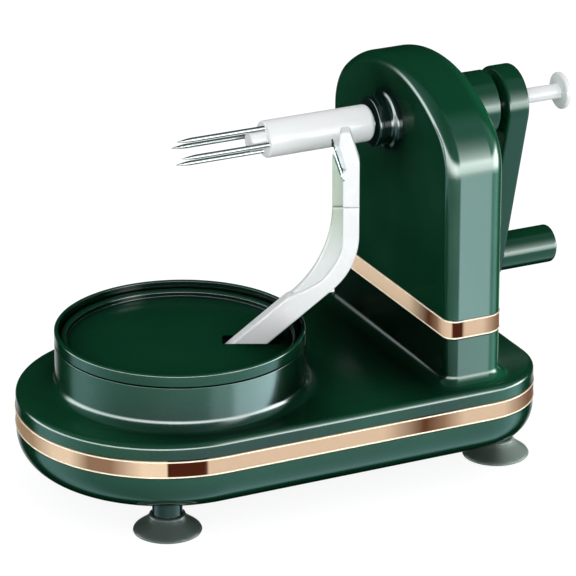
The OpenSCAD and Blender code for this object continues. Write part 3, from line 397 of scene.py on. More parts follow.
def makePaintedRunFinish(name, look):  # a finish whose colour runs through painted light and shade along one direction
    mat, tree, skin = newFinish(name)
    start, end = look["start"], look["end"]
    run = rescale(tree, dotWith(tree, objectPlace(tree), look["along"]), start, end)
    stops = [((place - start) / (end - start), look[shade]) for place, shade in look["stops"]]
    brushed = noiseOn(tree, look["grainScale"], noise["brushDetail"], look["stretch"])
    setSkin(tree, skin, rampOver(tree, run, stops), brushed, brushed, look)
    return mat


greenLook = {
    "dark": (0.0036, 0.043, 0.0182), "light": (0.0044, 0.051, 0.0222),
    "shadeScale": 14, "glossScale": 60, "grainScale": 700,
    "rough": (0.11, 0.17), "bump": 0.03, "bumpDepth": 0.0002,
    "sockets": {"IOR": 1.5},
}
# painted shade close to other pieces, the same depth all along
shellLook = dict(greenLook, corners={"reach": 0.03, "depth": [(-halfLength, 3), (halfLength, 3)]})
plateLook = dict(greenLook, rough=(0.15, 0.19), corners={
    "reach": 0.12,
    "depth": [  # painted shadow, deep in front of the drum and beside the column
        (-halfLength, 0), (-0.115, 0), (-0.08, 3), (-0.035, 3), (-0.01, 0.4), (0.01, 0.4), (0.034, 2.6),
        (0.045, 2.4), (0.062, 0), (halfLength, 0),
    ],
})
stubLook = dict(plateLook, sockets={"IOR": 1.5, "Specular IOR Level": 0.35})
# painted shade close to other pieces, its depth changing along the peeler
satinLook = dict(greenLook, rough=(0.165, 0.185), corners={
    "reach": 0.06,
    "depth": [(-halfLength, 0), (-0.118, 0), (-0.085, 4), (-0.03, 4), (-0.01, 1), (halfLength, 1)],
})
crankLook = dict(greenLook, sockets={"IOR": 1.5, "Specular IOR Level": 0.32})
darkLook = {
    "dark": (0.0012, 0.0075, 0.0050), "light": (0.0018, 0.011, 0.0075),
    "shadeScale": 20, "glossScale": 80, "grainScale": 700,
    "rough": (0.12, 0.18), "bump": 0.03, "bumpDepth": 0.0002,
    "sockets": {"IOR": 1.5},
}
goldLook = {
    "cream": (0.82, 0.60, 0.41), "peach": (0.66, 0.462, 0.316), "warm": (0.40, 0.25, 0.145),
    "tan": (0.26, 0.144, 0.084), "brown": (0.085, 0.025, 0.006), "deep": (0.050, 0.008, 0.001),
    "along": (1, -0.9, 0), "start": -halfLength, "end": halfLength,
    # painted reflections: light and dark patches along the band stand in for the studio it mirrors
    "stops": [
        (-halfLength, "warm"), (-0.128, "warm"), (-0.111, "cream"), (-0.099, "cream"), (-0.086, "tan"),
        (-0.072, "tan"), (-0.053, "cream"), (-0.0398, "cream"), (-0.0392, "deep"), (-0.0188, "deep"),
        (-0.0182, "peach"), (0.066, "peach"), (0.086, "brown"), (0.096, "tan"), (0.106, "peach"),
        (0.125, "peach"), (0.133, "tan"), (0.1365, "brown"),
    ],
    "grainScale": 6, "stretch": (3, 3, 420), "rough": (0.26, 0.36), "bump": 0.03, "bumpDepth": 0.0001,
    "sockets": {"Metallic": 0.02, "Specular IOR Level": 0.04},
}
# painted reflections along the column band, and cream painted light on its dim front face
columnGoldLook = dict(goldLook, stops=[
    (-halfLength, "cream"), (0.061, "cream"), (0.077, "brown"), (0.0845, "tan"), (0.089, "peach"),
    (0.0953, "peach"), (0.0957, "deep"), (0.1016, "deep"), (0.1020, "peach"), (0.111, "peach"),
    (0.1165, "tan"), (0.12, "brown"),
])
# painted highlight: a pale gold for the beads along the band's edges
paleGoldLook = {
    "dark": (0.88, 0.74, 0.57), "light": (0.94, 0.81, 0.65),
    "shadeScale": 60, "glossScale": 90, "grainScale": 500,
    "rough": (0.22, 0.32), "bump": 0.02, "bumpDepth": 0.0001,
    "sockets": {"Metallic": 0.1, "Specular IOR Level": 0.4},
}
whiteLook = {
    "dark": (0.85, 0.855, 0.87), "light": (0.89, 0.893, 0.90),
    "shadeScale": 30, "glossScale": 90, "grainScale": 900,
    "rough": (0.22, 0.3), "bump": 0.02, "bumpDepth": 0.0002,
    "sockets": {"IOR": 1.49, "Specular IOR Level": 0.3},
}
# painted shade with a green cast, for the thin guard plastic
paintedShadeLook = dict(whiteLook, dark=(0.42, 0.49, 0.40), light=(0.48, 0.55, 0.46))
# painted shade: greenish grey near the head, fading to white lower down
webLook = {
    "thin": (0.45, 0.52, 0.43), "mid": (0.60, 0.65, 0.60), "full": (0.72, 0.735, 0.735),
    "along": (0, 0, 1), "start": 0.08, "end": 0.14,
    "stops": [(0.08, "full"), (0.104, "full"), (0.114, "mid"), (0.126, "thin"), (0.14, "thin")],
    "grainScale": 60, "stretch": (1, 1, 1), "rough": (0.24, 0.32), "bump": 0.02, "bumpDepth": 0.0002,
    "sockets": {"IOR": 1.49, "Specular IOR Level": 0.3},
}
steelLook = {
    "dark": (0.36, 0.37, 0.38), "light": (0.50, 0.51, 0.52),
    "shadeScale": 4, "glossScale": 6, "grainScale": 7,
    "stretch": (10, 260, 260), "rough": (0.16, 0.3), "bump": 0.05, "bumpDepth": 0.0001,
    "sockets": {"Metallic": 1.0},
}
prongLook = dict(steelLook, dark=(0.21, 0.203, 0.20), light=(0.28, 0.272, 0.27), stretch=(1, 120, 120),
                 rough=(0.36, 0.44), bump=0.01)
rubberLook = {
    "dark": (0.045, 0.056, 0.050), "light": (0.065, 0.080, 0.071),
    "shadeScale": 35, "glossScale": 120, "grainScale": 800,
    "rough": (0.3, 0.42), "bump": 0.05, "bumpDepth": 0.0002,
    "sockets": {"IOR": 1.45},
}
nylonLook = {
    "dark": (0.70, 0.67, 0.58), "light": (0.80, 0.78, 0.70),
    "shadeScale": 60, "glossScale": 150, "grainScale": 1200,
    "rough": (0.42, 0.55), "bump": 0.06, "bumpDepth": 0.0002,
    "sockets": {"IOR": 1.53},
}
green = makeFinish("greenGloss", greenLook)
shellGreen = makeFinish("shellGreenGloss", shellLook)
plateGreen = makeFinish("plateGreenGloss", plateLook)
stubGreen = makeFinish("stubGreenGloss", stubLook)
satinGreen = makeFinish("satinGreen", satinLook)
crankGreen = makeFinish("crankGreenGloss", crankLook)
darkGreen = makeFinish("darkGreenGloss", darkLook)
roseGold = makePaintedRunFinish("roseGoldBand", goldLook)
roseGoldColumn = makePaintedRunFinish("roseGoldColumnBand", columnGoldLook)
paleGold = makeFinish("paleGoldEdge", paleGoldLook)
white = makeFinish("whiteGloss", whiteLook)
paintedShadeWhite = makeFinish("paintedShadeWhite", paintedShadeLook)
webWhite = makePaintedRunFinish("webWhite", webLook)
steel = makeFinish("brushedSteel", steelLook)
prongSteel = makeFinish("prongSteel", prongLook)
rubber = makeFinish("cupRubber", rubberLook)
nylon = makeFinish("nylon", nylonLook)
finishOf = {
    "green_plastic": green, "dark_green_plastic": darkGreen, "rose_gold": roseGold,
    "white_plastic": white, "steel": steel, "cup_rubber": rubber, "nylon": nylon,
}
for name, obj in nodes.items():
    obj.data.materials.clear()
    obj.data.materials.append(finishOf[slotOf[name]])
print("finishes made:", len(bpy.data.materials))


# base

base = {
    "half": 66.0, "leftC": -7.0, "rightC": 121.0, "cornerR": 33.0, "rightX": 154.0,
    "low": 13.0, "edgeR": 2.5, "bottomR": 15.5, "wall": 2.4, "floorT": 4.0, "innerR": 9.0,
    "trimLow": 31.4, "trimHigh": 39.6, "around": 288,
}
baseScrews = {
    "fromEdge": 15.0, "leftAngle": 150, "midX": 62.0, "rightY": 15.0,
    "headR": 3.5, "sunk": 2.6, "over": 2.0,
}
drum = {"r": 55.0, "top": 67.3, "footR": 5.4, "wall": 2.4}


def aroundDrum():
    return np.arange(base["around"]) / base["around"] * 2 * np.pi - np.pi


def baseRing(inset, z):  # outline of the base, sampled evenly round the drum axis
    half, corner = base["half"] - inset, base["cornerR"] - inset
    left, right, end = base["leftC"], base["rightC"], base["rightX"] - inset
    cornerY = base["half"] - base["cornerR"]
    line = arc(left, 0, half, 90, 270, 240) + straight(left, -half, right, -half, 160)
    line += arc(right, -cornerY, corner, -90, 0, 120) + straight(end, -cornerY, end, cornerY, 80)
    line += arc(right, cornerY, corner, 0, 90, 120) + straight(right, half, left, half, 160)
    pts = np.array(line)
    ang = np.arctan2(pts[:, 1], pts[:, 0])
    rad = np.hypot(pts[:, 0], pts[:, 1])
    order = np.argsort(ang)
    theta = aroundDrum()
    r = np.interp(theta, ang[order], rad[order], period=2 * np.pi)
    return [atPoint(a * math.cos(t), a * math.sin(t), z) for a, t in zip(r, theta)]


def drumRing(r, z):
    return [atPoint(r * math.cos(t), r * math.sin(t), z) for t in aroundDrum()]


def makeBaseCover():
    wall, edge, high = base["wall"], base["edgeR"], base["trimHigh"]
    rings = [baseRing(wall, high), baseRing(chamfer, high), baseRing(0, high + chamfer)]
    for a in quarterTurn(8):
        rings.append(baseRing(edge * (1 - math.cos(a)), topZ - edge * (1 - math.sin(a))))
    reach = drum["r"] + drum["footR"]
    rings += [drumRing(reach, topZ), drumRing(reach, topZ - wall), baseRing(wall, topZ - wall)]
    piece("baseCover", loft(rings), "base", plateGreen, ["base_cover"])


def makeDrumWall():
    r, rootR, top = drum["r"], drum["footR"], drum["top"]
    inner, under = r - drum["wall"], topZ - base["wall"]
    rings = [drumRing(inner, under), drumRing(r + rootR, under)]
    for a in quarterTurn(8):
        rings.append(drumRing(r + rootR * (1 - math.sin(a)), topZ + rootR * (1 - math.cos(a))))
    for a in quarterTurn(4):
        rings.append(drumRing(r - chamfer * (1 - math.cos(a)), top - chamfer * (1 - math.sin(a))))
    rings.append(drumRing(inner, top))
    piece("drumWall", loft(rings), "base", satinGreen, ["base_cover"])


def screwPlaces():  # on one side of the base, as (x, y)
    edge = baseScrews["fromEdge"]
    reach = base["half"] - edge
    a = math.radians(baseScrews["leftAngle"])
    left = (base["leftC"] + reach * math.cos(a), reach * math.sin(a))
    return [left, (baseScrews["midX"], reach), (base["rightX"] - edge, baseScrews["rightY"])]


def screwHole(x, y):
    r = baseScrews["headR"]
    low, high = base["low"] - baseScrews["over"], base["low"] + baseScrews["sunk"]
    return spin([(0, low), (r, low), (r, high), (0, high)], upright(x, y), 40, loop=False)


def makeBaseTray():
    wall, r, low, high = base["wall"], base["bottomR"], base["low"], base["trimLow"]
    rings = []
    for a in quarterTurn(12):
        rings.append(baseRing(r * (1 - math.sin(a)), low + r * (1 - math.cos(a))))
    rings += [baseRing(0, high - chamfer), baseRing(chamfer, high), baseRing(wall, high)]
    inner, floorZ = base["innerR"], low + base["floorT"]
    for a in quarterTurn(6):
        rings.append(baseRing(wall + inner * (1 - math.cos(a)), floorZ + inner * (1 - math.sin(a))))
    tray = piece("baseTray", loft(rings, caps=True), "base", green, ["base_tray"])
    cutAway(tray, join([screwHole(x, s * y) for s in (-1, 1) for x, y in screwPlaces()]))


band = {"proud": 0.395, "face": 0.14, "bead": 0.42, "beadSides": 12, "inside": 0.7, "gap": 0.16}


def bandShapes(ring, low, high):  # flat strip, and a bead along each of its edges
    low, high = low + band["gap"], high - band["gap"]
    inside, face, r = band["inside"], -band["face"], band["bead"]
    strip = loft([ring(inside, low), ring(face, low), ring(face, high), ring(inside, high)])
    turns = [2 * math.pi * i / band["beadSides"] for i in range(band["beadSides"])]
    beads = []
    for z in (low + r, high - r):
        beads.append(loft([ring(r - band["proud"] - r * math.cos(a), z + r * math.sin(a)) for a in turns]))
    return strip, join(beads)


def makeBaseBand():
    strip, beads = bandShapes(baseRing, base["trimLow"], base["trimHigh"])
    piece("baseTrimBand", strip, "base", roseGold, ["base_trim_band"])
    piece("baseTrimEdges", beads, "base", paleGold, ["base_trim_band"], sharp=60)


makeBaseCover()
makeDrumWall()
makeBaseTray()
makeBaseBand()
print("base made")


# feet

foot = {
    "hollowZ": 5.2, "lipR": 14.8,
    "inner": [(6.0, 4.6), (9.0, 3.4), (11.8, 1.5), (13.9, 0.0)],  # points are (radius, height)
    "outer": [(15.0, 0.5), (14.2, 1.7), (11.4, 3.8), (9.2, 5.6), (8.0, 7.2)],
    "seat": [(7.85, 7.75), (7.4, 8.0), (6.75, 8.0), (6.7, 7.3), (0, 7.3)],
    "stem": [(0, 7.35), (6.6, 7.35), (6.6, 16.5), (0, 16.5)],
    "leftAngle": 114, "leftReach": 49.5, "rightAngle": 9.4, "rightReach": 17.8, "rightY": 33.0,
}


def footPlaces():
    left, right = math.radians(foot["leftAngle"]), math.radians(foot["rightAngle"])
    leftX, leftY = base["leftC"] + foot["leftReach"] * math.cos(left), foot["leftReach"] * math.sin(left)
    rightX = base["rightC"] + foot["rightReach"] * math.cos(right)
    rightY = foot["rightY"] + foot["rightReach"] * math.sin(right)
    return {
        "front_left": (leftX, -leftY), "front_right": (rightX, -rightY),
        "rear_left": (leftX, leftY), "rear_right": (rightX, rightY),
    }


def makeFeet():
    cup = [(0, foot["hollowZ"])] + curveThrough(foot["inner"]) + [(foot["lipR"], 0.0)]
    cup += curveThrough(foot["outer"]) + foot["seat"]
    stems = []
    for where, (x, y) in footPlaces().items():
        camel = "suctionCup" + "".join(w.capitalize() for w in where.split("_"))
        shape = spin(cup, upright(x, y), 72, loop=False)
        piece(camel, shape, "base", rubber, ["suction_cup_" + where], sharp=50)
        stems.append(spin(foot["stem"], upright(x, y), 64, loop=False))
    # shellGreen paints shade on the stems close to the tray and cups
    piece("footSockets", join(stems), "base", shellGreen, ["base_tray"])


makeFeet()
print("feet made")


# column

column = {
    "x0": 102.0, "x1": 130.5, "half": 58.0, "top": 181.5, "frontR": 5.4, "rearR": 9.0, "leastR": 0.5,
    "shoulderR": 28.0, "rise": 38.5, "footR": 5.0, "sink": 1.0, "wall": 2.4,
    "trimLow": 69.2, "trimHigh": 78.0,
    "coverInset": 11.0, "coverLow": 86.0, "coverGap": 0.15, "coverEdge": 0.35,
}
springZ = column["top"] - column["rise"]
shoulderY = column["half"] - column["shoulderR"]
crownR = (column["rise"] ** 2 + shoulderY ** 2 - column["shoulderR"] ** 2) / 2
crownR /= column["rise"] - column["shoulderR"]
crownZ = column["top"] - crownR
crownHalf = math.degrees(math.atan2(shoulderY, springZ - crownZ))


def archOutline(inset, low):  # seen along the fork axis, as (y, z)
    r = column["shoulderR"] - inset
    line = [(column["half"] - inset, low)]
    line += arc(shoulderY, springZ, r, 0, 90 - crownHalf, 20)
    line += arc(0, crownZ, crownR - inset, 90 - crownHalf, 90 + crownHalf, 48)[1:-1]
    line += arc(-shoulderY, springZ, r, 90 + crownHalf, 180, 20)
    line.append((inset - column["half"], low))
    return line


def archRing(inset, x, low):
    return [atPoint(x, y, z) for y, z in archOutline(inset, low)]


def planRing(inset, z):  # seen from above
    front = max(column["frontR"] - inset, column["leastR"])
    rear = max(column["rearR"] - inset, column["leastR"])
    x0, x1, half = column["x0"] + inset, column["x1"] - inset, column["half"] - inset
    line = arc(x1 - rear, half - rear, rear, 0, 90, 14)
    line += arc(x0 + front, half - front, front, 90, 180, 14)
    line += arc(x0 + front, front - half, front, 180, 270, 14)
    line += arc(x1 - rear, rear - half, rear, 270, 360, 14)
    return [atPoint(x, y, z) for x, y in line]


def makeColumnStub():
    r, wall, high, under = column["footR"], column["wall"], column["trimLow"], topZ - column["sink"]
    rings = [planRing(-r, under)]
    for a in quarterTurn(10):
        rings.append(planRing(-r * (1 - math.sin(a)), topZ + r * (1 - math.cos(a))))
    rings += [planRing(0, high - chamfer), planRing(chamfer, high)]
    rings += [planRing(wall, high), planRing(wall, under)]
    piece("columnStub", loft(rings), "base", stubGreen, ["base_cover"])


def makeColumnHousing():
    front, rear, low = column["frontR"], column["rearR"], column["trimHigh"]
    x0, x1 = column["x0"], column["x1"]
    rings = []
    for a in quarterTurn(10):
        rings.append(archRing(front * (1 - math.sin(a)), x0 + front * (1 - math.cos(a)), low))
    for a in reversed(quarterTurn(12)):
        rings.append(archRing(rear * (1 - math.sin(a)), x1 - rear * (1 - math.cos(a)), low))
    inset, coverLow = column["coverInset"], column["coverLow"]
    rings.append(archRing(inset - chamfer, x1, coverLow - chamfer))
    rings.append(archRing(inset, x1 - chamfer, coverLow))
    rings.append(archRing(inset, x1 - column["wall"], coverLow))
    piece("columnHousing", loft(rings, caps=True), "base", shellGreen, ["column_housing"])


def makeColumnBand():
    strip, beads = bandShapes(planRing, column["trimLow"], column["trimHigh"])
    piece("columnTrimBand", strip, "base", roseGoldColumn, ["column_trim_band"])
    piece("columnTrimEdges", beads, "base", paleGold, ["column_trim_band"], sharp=60)


hub = {  # profile points are (radius, height, rounding), here and below
    "profile": [
        (18.0, -0.5, 0), (18.0, 0, 0), (15.0, 0, 1.2), (15.0, 19.4, 1.0), (7.6, 19.4, 0.3), (7.6, -0.5, 0),
    ],
}


def makeRearCover():
    gap, x1 = column["coverGap"], column["x1"]
    outline = archOutline(column["coverInset"] + gap, column["coverLow"] + gap)
    plate = slab(outline, x1 - column["wall"], x1, column["coverEdge"], lambda y, z, h: atPoint(h, y, z))
    piece("columnRearCover", plate, "base", green, ["column_rear_cover"])
    boss = spin(softPath(hub["profile"]), alongX(x1))
    piece("rearHub", boss, "base", crankGreen, ["column_rear_cover"])


collar = {
    "x": 92.0,
    "profile": [
        (5.9, 0, 0), (11.2, 0, 0.8), (11.2, 1.9, 0.35), (10.8, 2.2, 0.4), (10.8, 6.4, 1.6), (13.4, 7.4, 1.1),
        (13.6, 10.0, 0.4), (5.9, 10.0, 0),
    ],
}


def makeCollar():
    spool = spin(softPath(collar["profile"], steps=8), alongX(collar["x"]))
    piece("forkCollar", spool, "base", darkGreen, ["fork_collar"])


makeColumnStub()
makeColumnHousing()
makeColumnBand()
makeRearCover()
makeCollar()
print("column made")


# turntable

table = {
    "r": 55.0, "low": 67.7, "rim": 73.2, "rimT": 1.8, "ledgeDrop": 3.4, "ledgeW": 3.5,
    "lid": 66.8, "lidT": 2.4, "grooveW": 1.1, "grooveD": 1.6, "skirtR": 52.2,
    "slotIn": 18.4, "slotOut": 44.0, "slotW": 9.6, "slotR": 1.0, "slotOver": 2.0,
}
lug = {
    "in": 17.4, "out": 27.0, "low": 54.0, "high": 64.6, "cornerR": 4.0,
    "near": 4.4, "far": 7.0, "edge": 0.4,
}
pad = {"profile": [(0, 64.6, 0), (15.0, 64.6, 0), (15.0, 61.4, 0.5), (0, 61.4, 0)]}


def makeTurntable():
    r, rim, lid, low = table["r"], table["rim"], table["lid"], table["low"]
    ledgeR, ledgeZ = r - table["rimT"], rim - table["ledgeDrop"]
    wellR, skirtR, under = ledgeR - table["ledgeW"], table["skirtR"], lid - table["lidT"]
    grooveR, grooveZ = ledgeR - table["grooveW"], ledgeZ - table["grooveD"]
    profile = softPath([
        (0, lid, 0), (wellR, lid, 0.6), (wellR, ledgeZ, 1.2), (grooveR, ledgeZ, 0.3), (grooveR, grooveZ, 0),
        (ledgeR, grooveZ, 0), (ledgeR, rim, 0.6), (r, rim, 0.9), (r, low, 0.4), (skirtR, low, 0.2),
        (skirtR, under, 0.3), (0, under, 0)], closed=False)
    cap = spin(profile, upright(0, 0), 192, loop=False)
    obj = piece("turntable", cap, "turntable", shellGreen, ["turntable"])
    slot = slotPath(table["slotIn"], table["slotOut"], table["slotW"] / 2, table["slotR"])
    over = table["slotOver"]
    walls = [[inArmPlane(u, z, v) for u, v in slot] for z in (under - over, lid + over)]
    cutAway(obj, loft(walls, caps=True))


def makeLugs():
    inner, outer, low, high = lug["in"], lug["out"], lug["low"], lug["high"]
    r = lug["cornerR"]
    outline = softPath([(inner, low, r), (outer, low, r), (outer, high, 0), (inner, high, 0)])
    sides = ((lug["near"], lug["far"]), (-lug["far"], -lug["near"]))
    shapes = [slab(outline, start, end, lug["edge"], inArmPlane) for start, end in sides]
    shapes.append(spin(softPath(pad["profile"], closed=False), upright(0, 0), loop=False))
    # the lugs and pad take a near-black finish: painted shade seen through the lid's slot
    piece("turntableLugs", join(shapes), "turntable", darkGreen, ["turntable"])


makeTurntable()
makeLugs()
print("turntable made")


# fork

fork = {
    "x": 40.6,
    "profile": [
        (4.25, 0, 0.3), (8.2, 0, 0.9), (8.2, 50.8, 2.2), (5.6, 50.8, 0.3), (5.6, 24.0, 0), (3.8, 24.0, 0),
        (3.8, 21.0, 0), (4.25, 21.0, 0),
    ],
}
prong = {
    "tip": [(0.0, 0.0), (0.2, 0.35), (0.55, 2.6), (0.9, 5.4), (1.0, 7.0)],  # (radius, distance)
    "r": 1.0, "out": 41.4, "sunk": 6.0, "circleR": 5.5, "tilt": 6.5, "count": 4,
}
ejector = {"out": 7.2, "profile": [(0, 0, 0), (4.2, 0, 0.6), (4.2, 22.2, 0.4), (0, 22.2, 0)]}


def makeFork():
    tube = spin(softPath(fork["profile"], steps=7), alongX(fork["x"]))
    piece("forkTube", tube, "crank", white, ["fork_tube"])
    end = prong["out"] + prong["sunk"]
    profile = curveThrough(prong["tip"], 4) + [(prong["r"], end), (0, end)]
    prongs = []
    for k in range(prong["count"]):
        a = math.radians(360 / prong["count"] * k + prong["tilt"])  # the first stands near the bottom
        y, z = prong["circleR"] * math.sin(a), -prong["circleR"] * math.cos(a)
        prongs.append(spin(profile, alongX(fork["x"] - prong["out"], y, shaftZ + z), 24, loop=False))
    piece("forkProngs", join(prongs), "crank", prongSteel, ["fork_prongs"], sharp=50)
    profile = softPath(ejector["profile"], closed=False)
    plug = spin(profile, alongX(fork["x"] - ejector["out"]), 64, loop=False)
    piece("ejector", plug, "push_rod", white, ["ejector"])


makeFork()


# crank

crank = {"x0": 153.1, "x1": 163.7, "radius": 82.0, "angle": 12.0, "headR": 16.0, "endR": 11.5, "edgeR": 1.3}
spacer = {"x": 150.3, "profile": [(5.6, 0, 0), (9.5, 0, 0.3), (9.5, 2.8, 0.3), (5.6, 2.8, 0)]}
handle = {
    "x": 164.1,
    "grip": [
        (2.9, 0, 0), (8.7, 0, 0.8), (8.7, 29.4, 1.8), (6.05, 29.4, 0.3), (6.05, 23.4, 0), (2.9, 23.4, 0),
    ],
    "cap": [(0, 26.4, 0), (5.95, 26.4, 0), (5.95, 29.15, 0.4), (0, 29.25, 0)],
}
pushRod = {
    "r": 3.4, "start": 45.4, "end": 188.0, "discX": 186.5,
    "disc": [(0, 0, 0), (8.4, 0, 1.0), (8.4, 2.6, 1.2), (5.4, 2.35, 1.5), (0, 2.3, 0)],
}


def crankPlace(u, v, h):  # u runs down the hanging arm from the shaft
    a = math.radians(crank["angle"])
    return atPoint(h, u * math.sin(a) + v * math.cos(a), shaftZ - u * math.cos(a) + v * math.sin(a))


def onHandle(u, v, h):
    return crankPlace(crank["radius"] + u, v, handle["x"] + h)


def makeCrank():
    taper = math.degrees(math.asin((crank["headR"] - crank["endR"]) / crank["radius"]))
    outline = arc(crank["radius"], 0, crank["endR"], taper - 90, 90 - taper, 40)
    outline += arc(0, 0, crank["headR"], 90 - taper, 270 + taper, 56)
    lever = slab(outline, crank["x0"], crank["x1"], crank["edgeR"], crankPlace, 5)
    piece("crankArm", lever, "crank", crankGreen, ["crank_arm"])
    ring = spin(softPath(spacer["profile"]), alongX(spacer["x"]))
    piece("crankSpacer", ring, "crank", darkGreen, ["crank_spacer"])
    grip = spin(softPath(handle["grip"], steps=7), onHandle)
    piece("crankHandle", grip, "handle", crankGreen, ["crank_handle"])
    cap = spin(softPath(handle["cap"], closed=False), onHandle, loop=False)
    piece("handleCap", cap, "handle", crankGreen, ["handle_cap"])


def makePushRod():
    r, start, end = pushRod["r"], pushRod["start"], pushRod["end"]
    rod = spin([(0, start), (r, start), (r, end), (0, end)], alongX(0), 64, loop=False)
    piece("pushRod", rod, "push_rod", white, ["push_rod"])
    disc = spin(softPath(pushRod["disc"], closed=False, steps=7), alongX(pushRod["discX"]), loop=False)
    piece("pushDisc", disc, "push_rod", white, ["push_disc"])


makeCrank()
makePushRod()
print("fork and crank made")


# peeling arm

arm = {
    "slope": 42.0, "pivot": (22.2, 58.8), "depth": 10.6, "width": 8.0, "edge": 0.9,
    "reach": 78.0, "ribX": 70.8, "bend": (44.0, 117.05), "bendR": 34.0, "straightZ": 120.0, "seam": 129.8,
    "inner": [  # inside of the bend, from the top down
        (70.8, 118.1), (70.5, 110.7), (68.8, 105.8), (65.8, 101.0), (61.5, 95.8), (54.5, 91.4), (46.5, 87.8),
    ],
}
web = {
    "centre": (12.3, 129.7), "r": 54.0, "start": -48, "t": 3.4, "edge": 1.2,
    "outX": 74.0, "straightZ": 118.0, "bendR": 30.0, "end": -46, "foot": (52.0, 88.0),
}


def makeArm():
    slope, reach, ribX = arm["slope"], arm["reach"], arm["ribX"]
    seam, top = arm["seam"], arm["straightZ"]
    rib = arc(*arm["bend"], arm["bendR"], slope - 90, 0, 20)
    rib += [(reach, top), (reach, seam), (ribX, seam), (ribX, top)] + curveThrough(arm["inner"], 5)
    rib += arc(*arm["pivot"], arm["depth"] / 2, slope + 90, slope + 270, 24)
    shape = slab(rib, -arm["width"] / 2, arm["width"] / 2, arm["edge"], inArmPlane, 5)
    piece("peelingArm", shape, "arm", white, ["peeling_arm"])
    sheet = arc(*web["centre"], web["r"], web["start"], 0, 30)
    sheet += [(web["outX"], seam), (web["outX"], web["straightZ"])]
    sheet += arc(*arm["bend"], web["bendR"], 0, web["end"], 12) + [web["foot"]]
    shape = slab(sheet, -web["t"] / 2, web["t"] / 2, web["edge"], inArmPlane, 6)
    piece("peelingArmWeb", shape, "arm", webWhite, ["peeling_arm"])


head = {
    "gap": 0.25, "width": 8.0, "edge": 0.8, "shoulderZ": 150.9, "shoulderR": 7.0, "footZ": 146.2,
    "nose": [(73.6, 164.8, 1.4), (69.7, 164.2, 1.2), (69.0, 157.8, 4), (71.4, 149.3, 2), (72.2, 147.5, 0)],
    "facet": [  # (distance, height, side) in the arm's plane
        (70.35, 147.6, 1.4), (72.6, 147.0, 3.7), (71.9, 150.0, 3.7), (69.5, 158.2, 3.7), (67.1, 157.6, 1.4),
    ],
    "facetBack": -3.2,
}
guard = {"x0": 66.3, "x1": 72.0, "gap": 0.8, "drop": 0.6, "tipW": 0.6, "width": 3.4, "edge": 0.25}
blade = {
    "foot": (71.4, 142.3), "lean": 18.0, "length": 17.0, "thick": 0.6, "width": 10.0, "edge": 0.12,
    "footR": 1.2, "tipR": 0.5,
    "slotLow": 5.5, "slotHigh": 3.1, "slotSide": 1.2, "slotR": 0.6, "slotOver": 2.0,
}


def makeHead():
    low, reach, ribX = arm["seam"] + head["gap"], arm["reach"], arm["ribX"]
    rib = [(ribX, low, 0), (reach, low, 0), (reach, head["shoulderZ"], head["shoulderR"])]
    rib = softPath(rib + head["nose"] + [(ribX, head["footZ"], 0)], steps=8)
    shape = slab(rib, -head["width"] / 2, head["width"] / 2, head["edge"], inArmPlane, 5)
    back = [inArmPlane(u, v, head["facetBack"]) for u, v, side in head["facet"]]
    front = [inArmPlane(u, v, side) for u, v, side in head["facet"]]
    both = join([shape, loft([back, front], caps=True)])
    piece("cutterHead", both, "arm", white, ["cutter_head"])


def makeGuard():
    low, x0, x1 = arm["seam"] + head["gap"], guard["x0"], guard["x1"]
    lean = math.radians(blade["lean"])
    off = blade["thick"] / 2 + guard["gap"]
    rootX, rootZ = blade["foot"][0] - off * math.cos(lean), blade["foot"][1] - off * math.sin(lean)
    tipX = x0 + guard["tipW"]
    tipZ = rootZ + (rootX - tipX) / math.tan(lean)
    outline = [(x0, low), (x1, low), (x1, rootZ - guard["drop"]), (rootX, rootZ), (tipX, tipZ), (x0, tipZ)]
    shape = slab(outline, -guard["width"] / 2, guard["width"] / 2, guard["edge"], inArmPlane)
    piece("cutterHeadGuard", shape, "arm", paintedShadeWhite, ["cutter_head"])


def bladePlace(b, c, a):  # b up the blade, c over its width, a across the thickness
    lean = math.radians(blade["lean"])
    x, z = blade["foot"]
    rho = x + a * math.cos(lean) - b * math.sin(lean)
    return inArmPlane(rho, z + a * math.sin(lean) + b * math.cos(lean), c)


def makeBlade():
    half, length, t = blade["width"] / 2, blade["length"], blade["thick"] / 2
    footR, tipR = blade["footR"], blade["tipR"]
    outline = softPath([(0, -half, footR), (length, -half, tipR), (length, half, tipR), (0, half, footR)])
    strip = slab(outline, -t, t, blade["edge"], bladePlace, 2)
    obj = piece("peelingBlade", strip, "arm", steel, ["peeling_blade"])
    low, high = length - blade["slotLow"], length - blade["slotHigh"]
    slot = slotPath(low, high, half - blade["slotSide"], blade["slotR"])
    over = blade["slotOver"]
    walls = [[bladePlace(b, c, a) for b, c in slot] for a in (-over, over)]
    cutAway(obj, loft(walls, caps=True))


makeArm()
makeHead()
makeGuard()
makeBlade()
print("arm made")


# stage

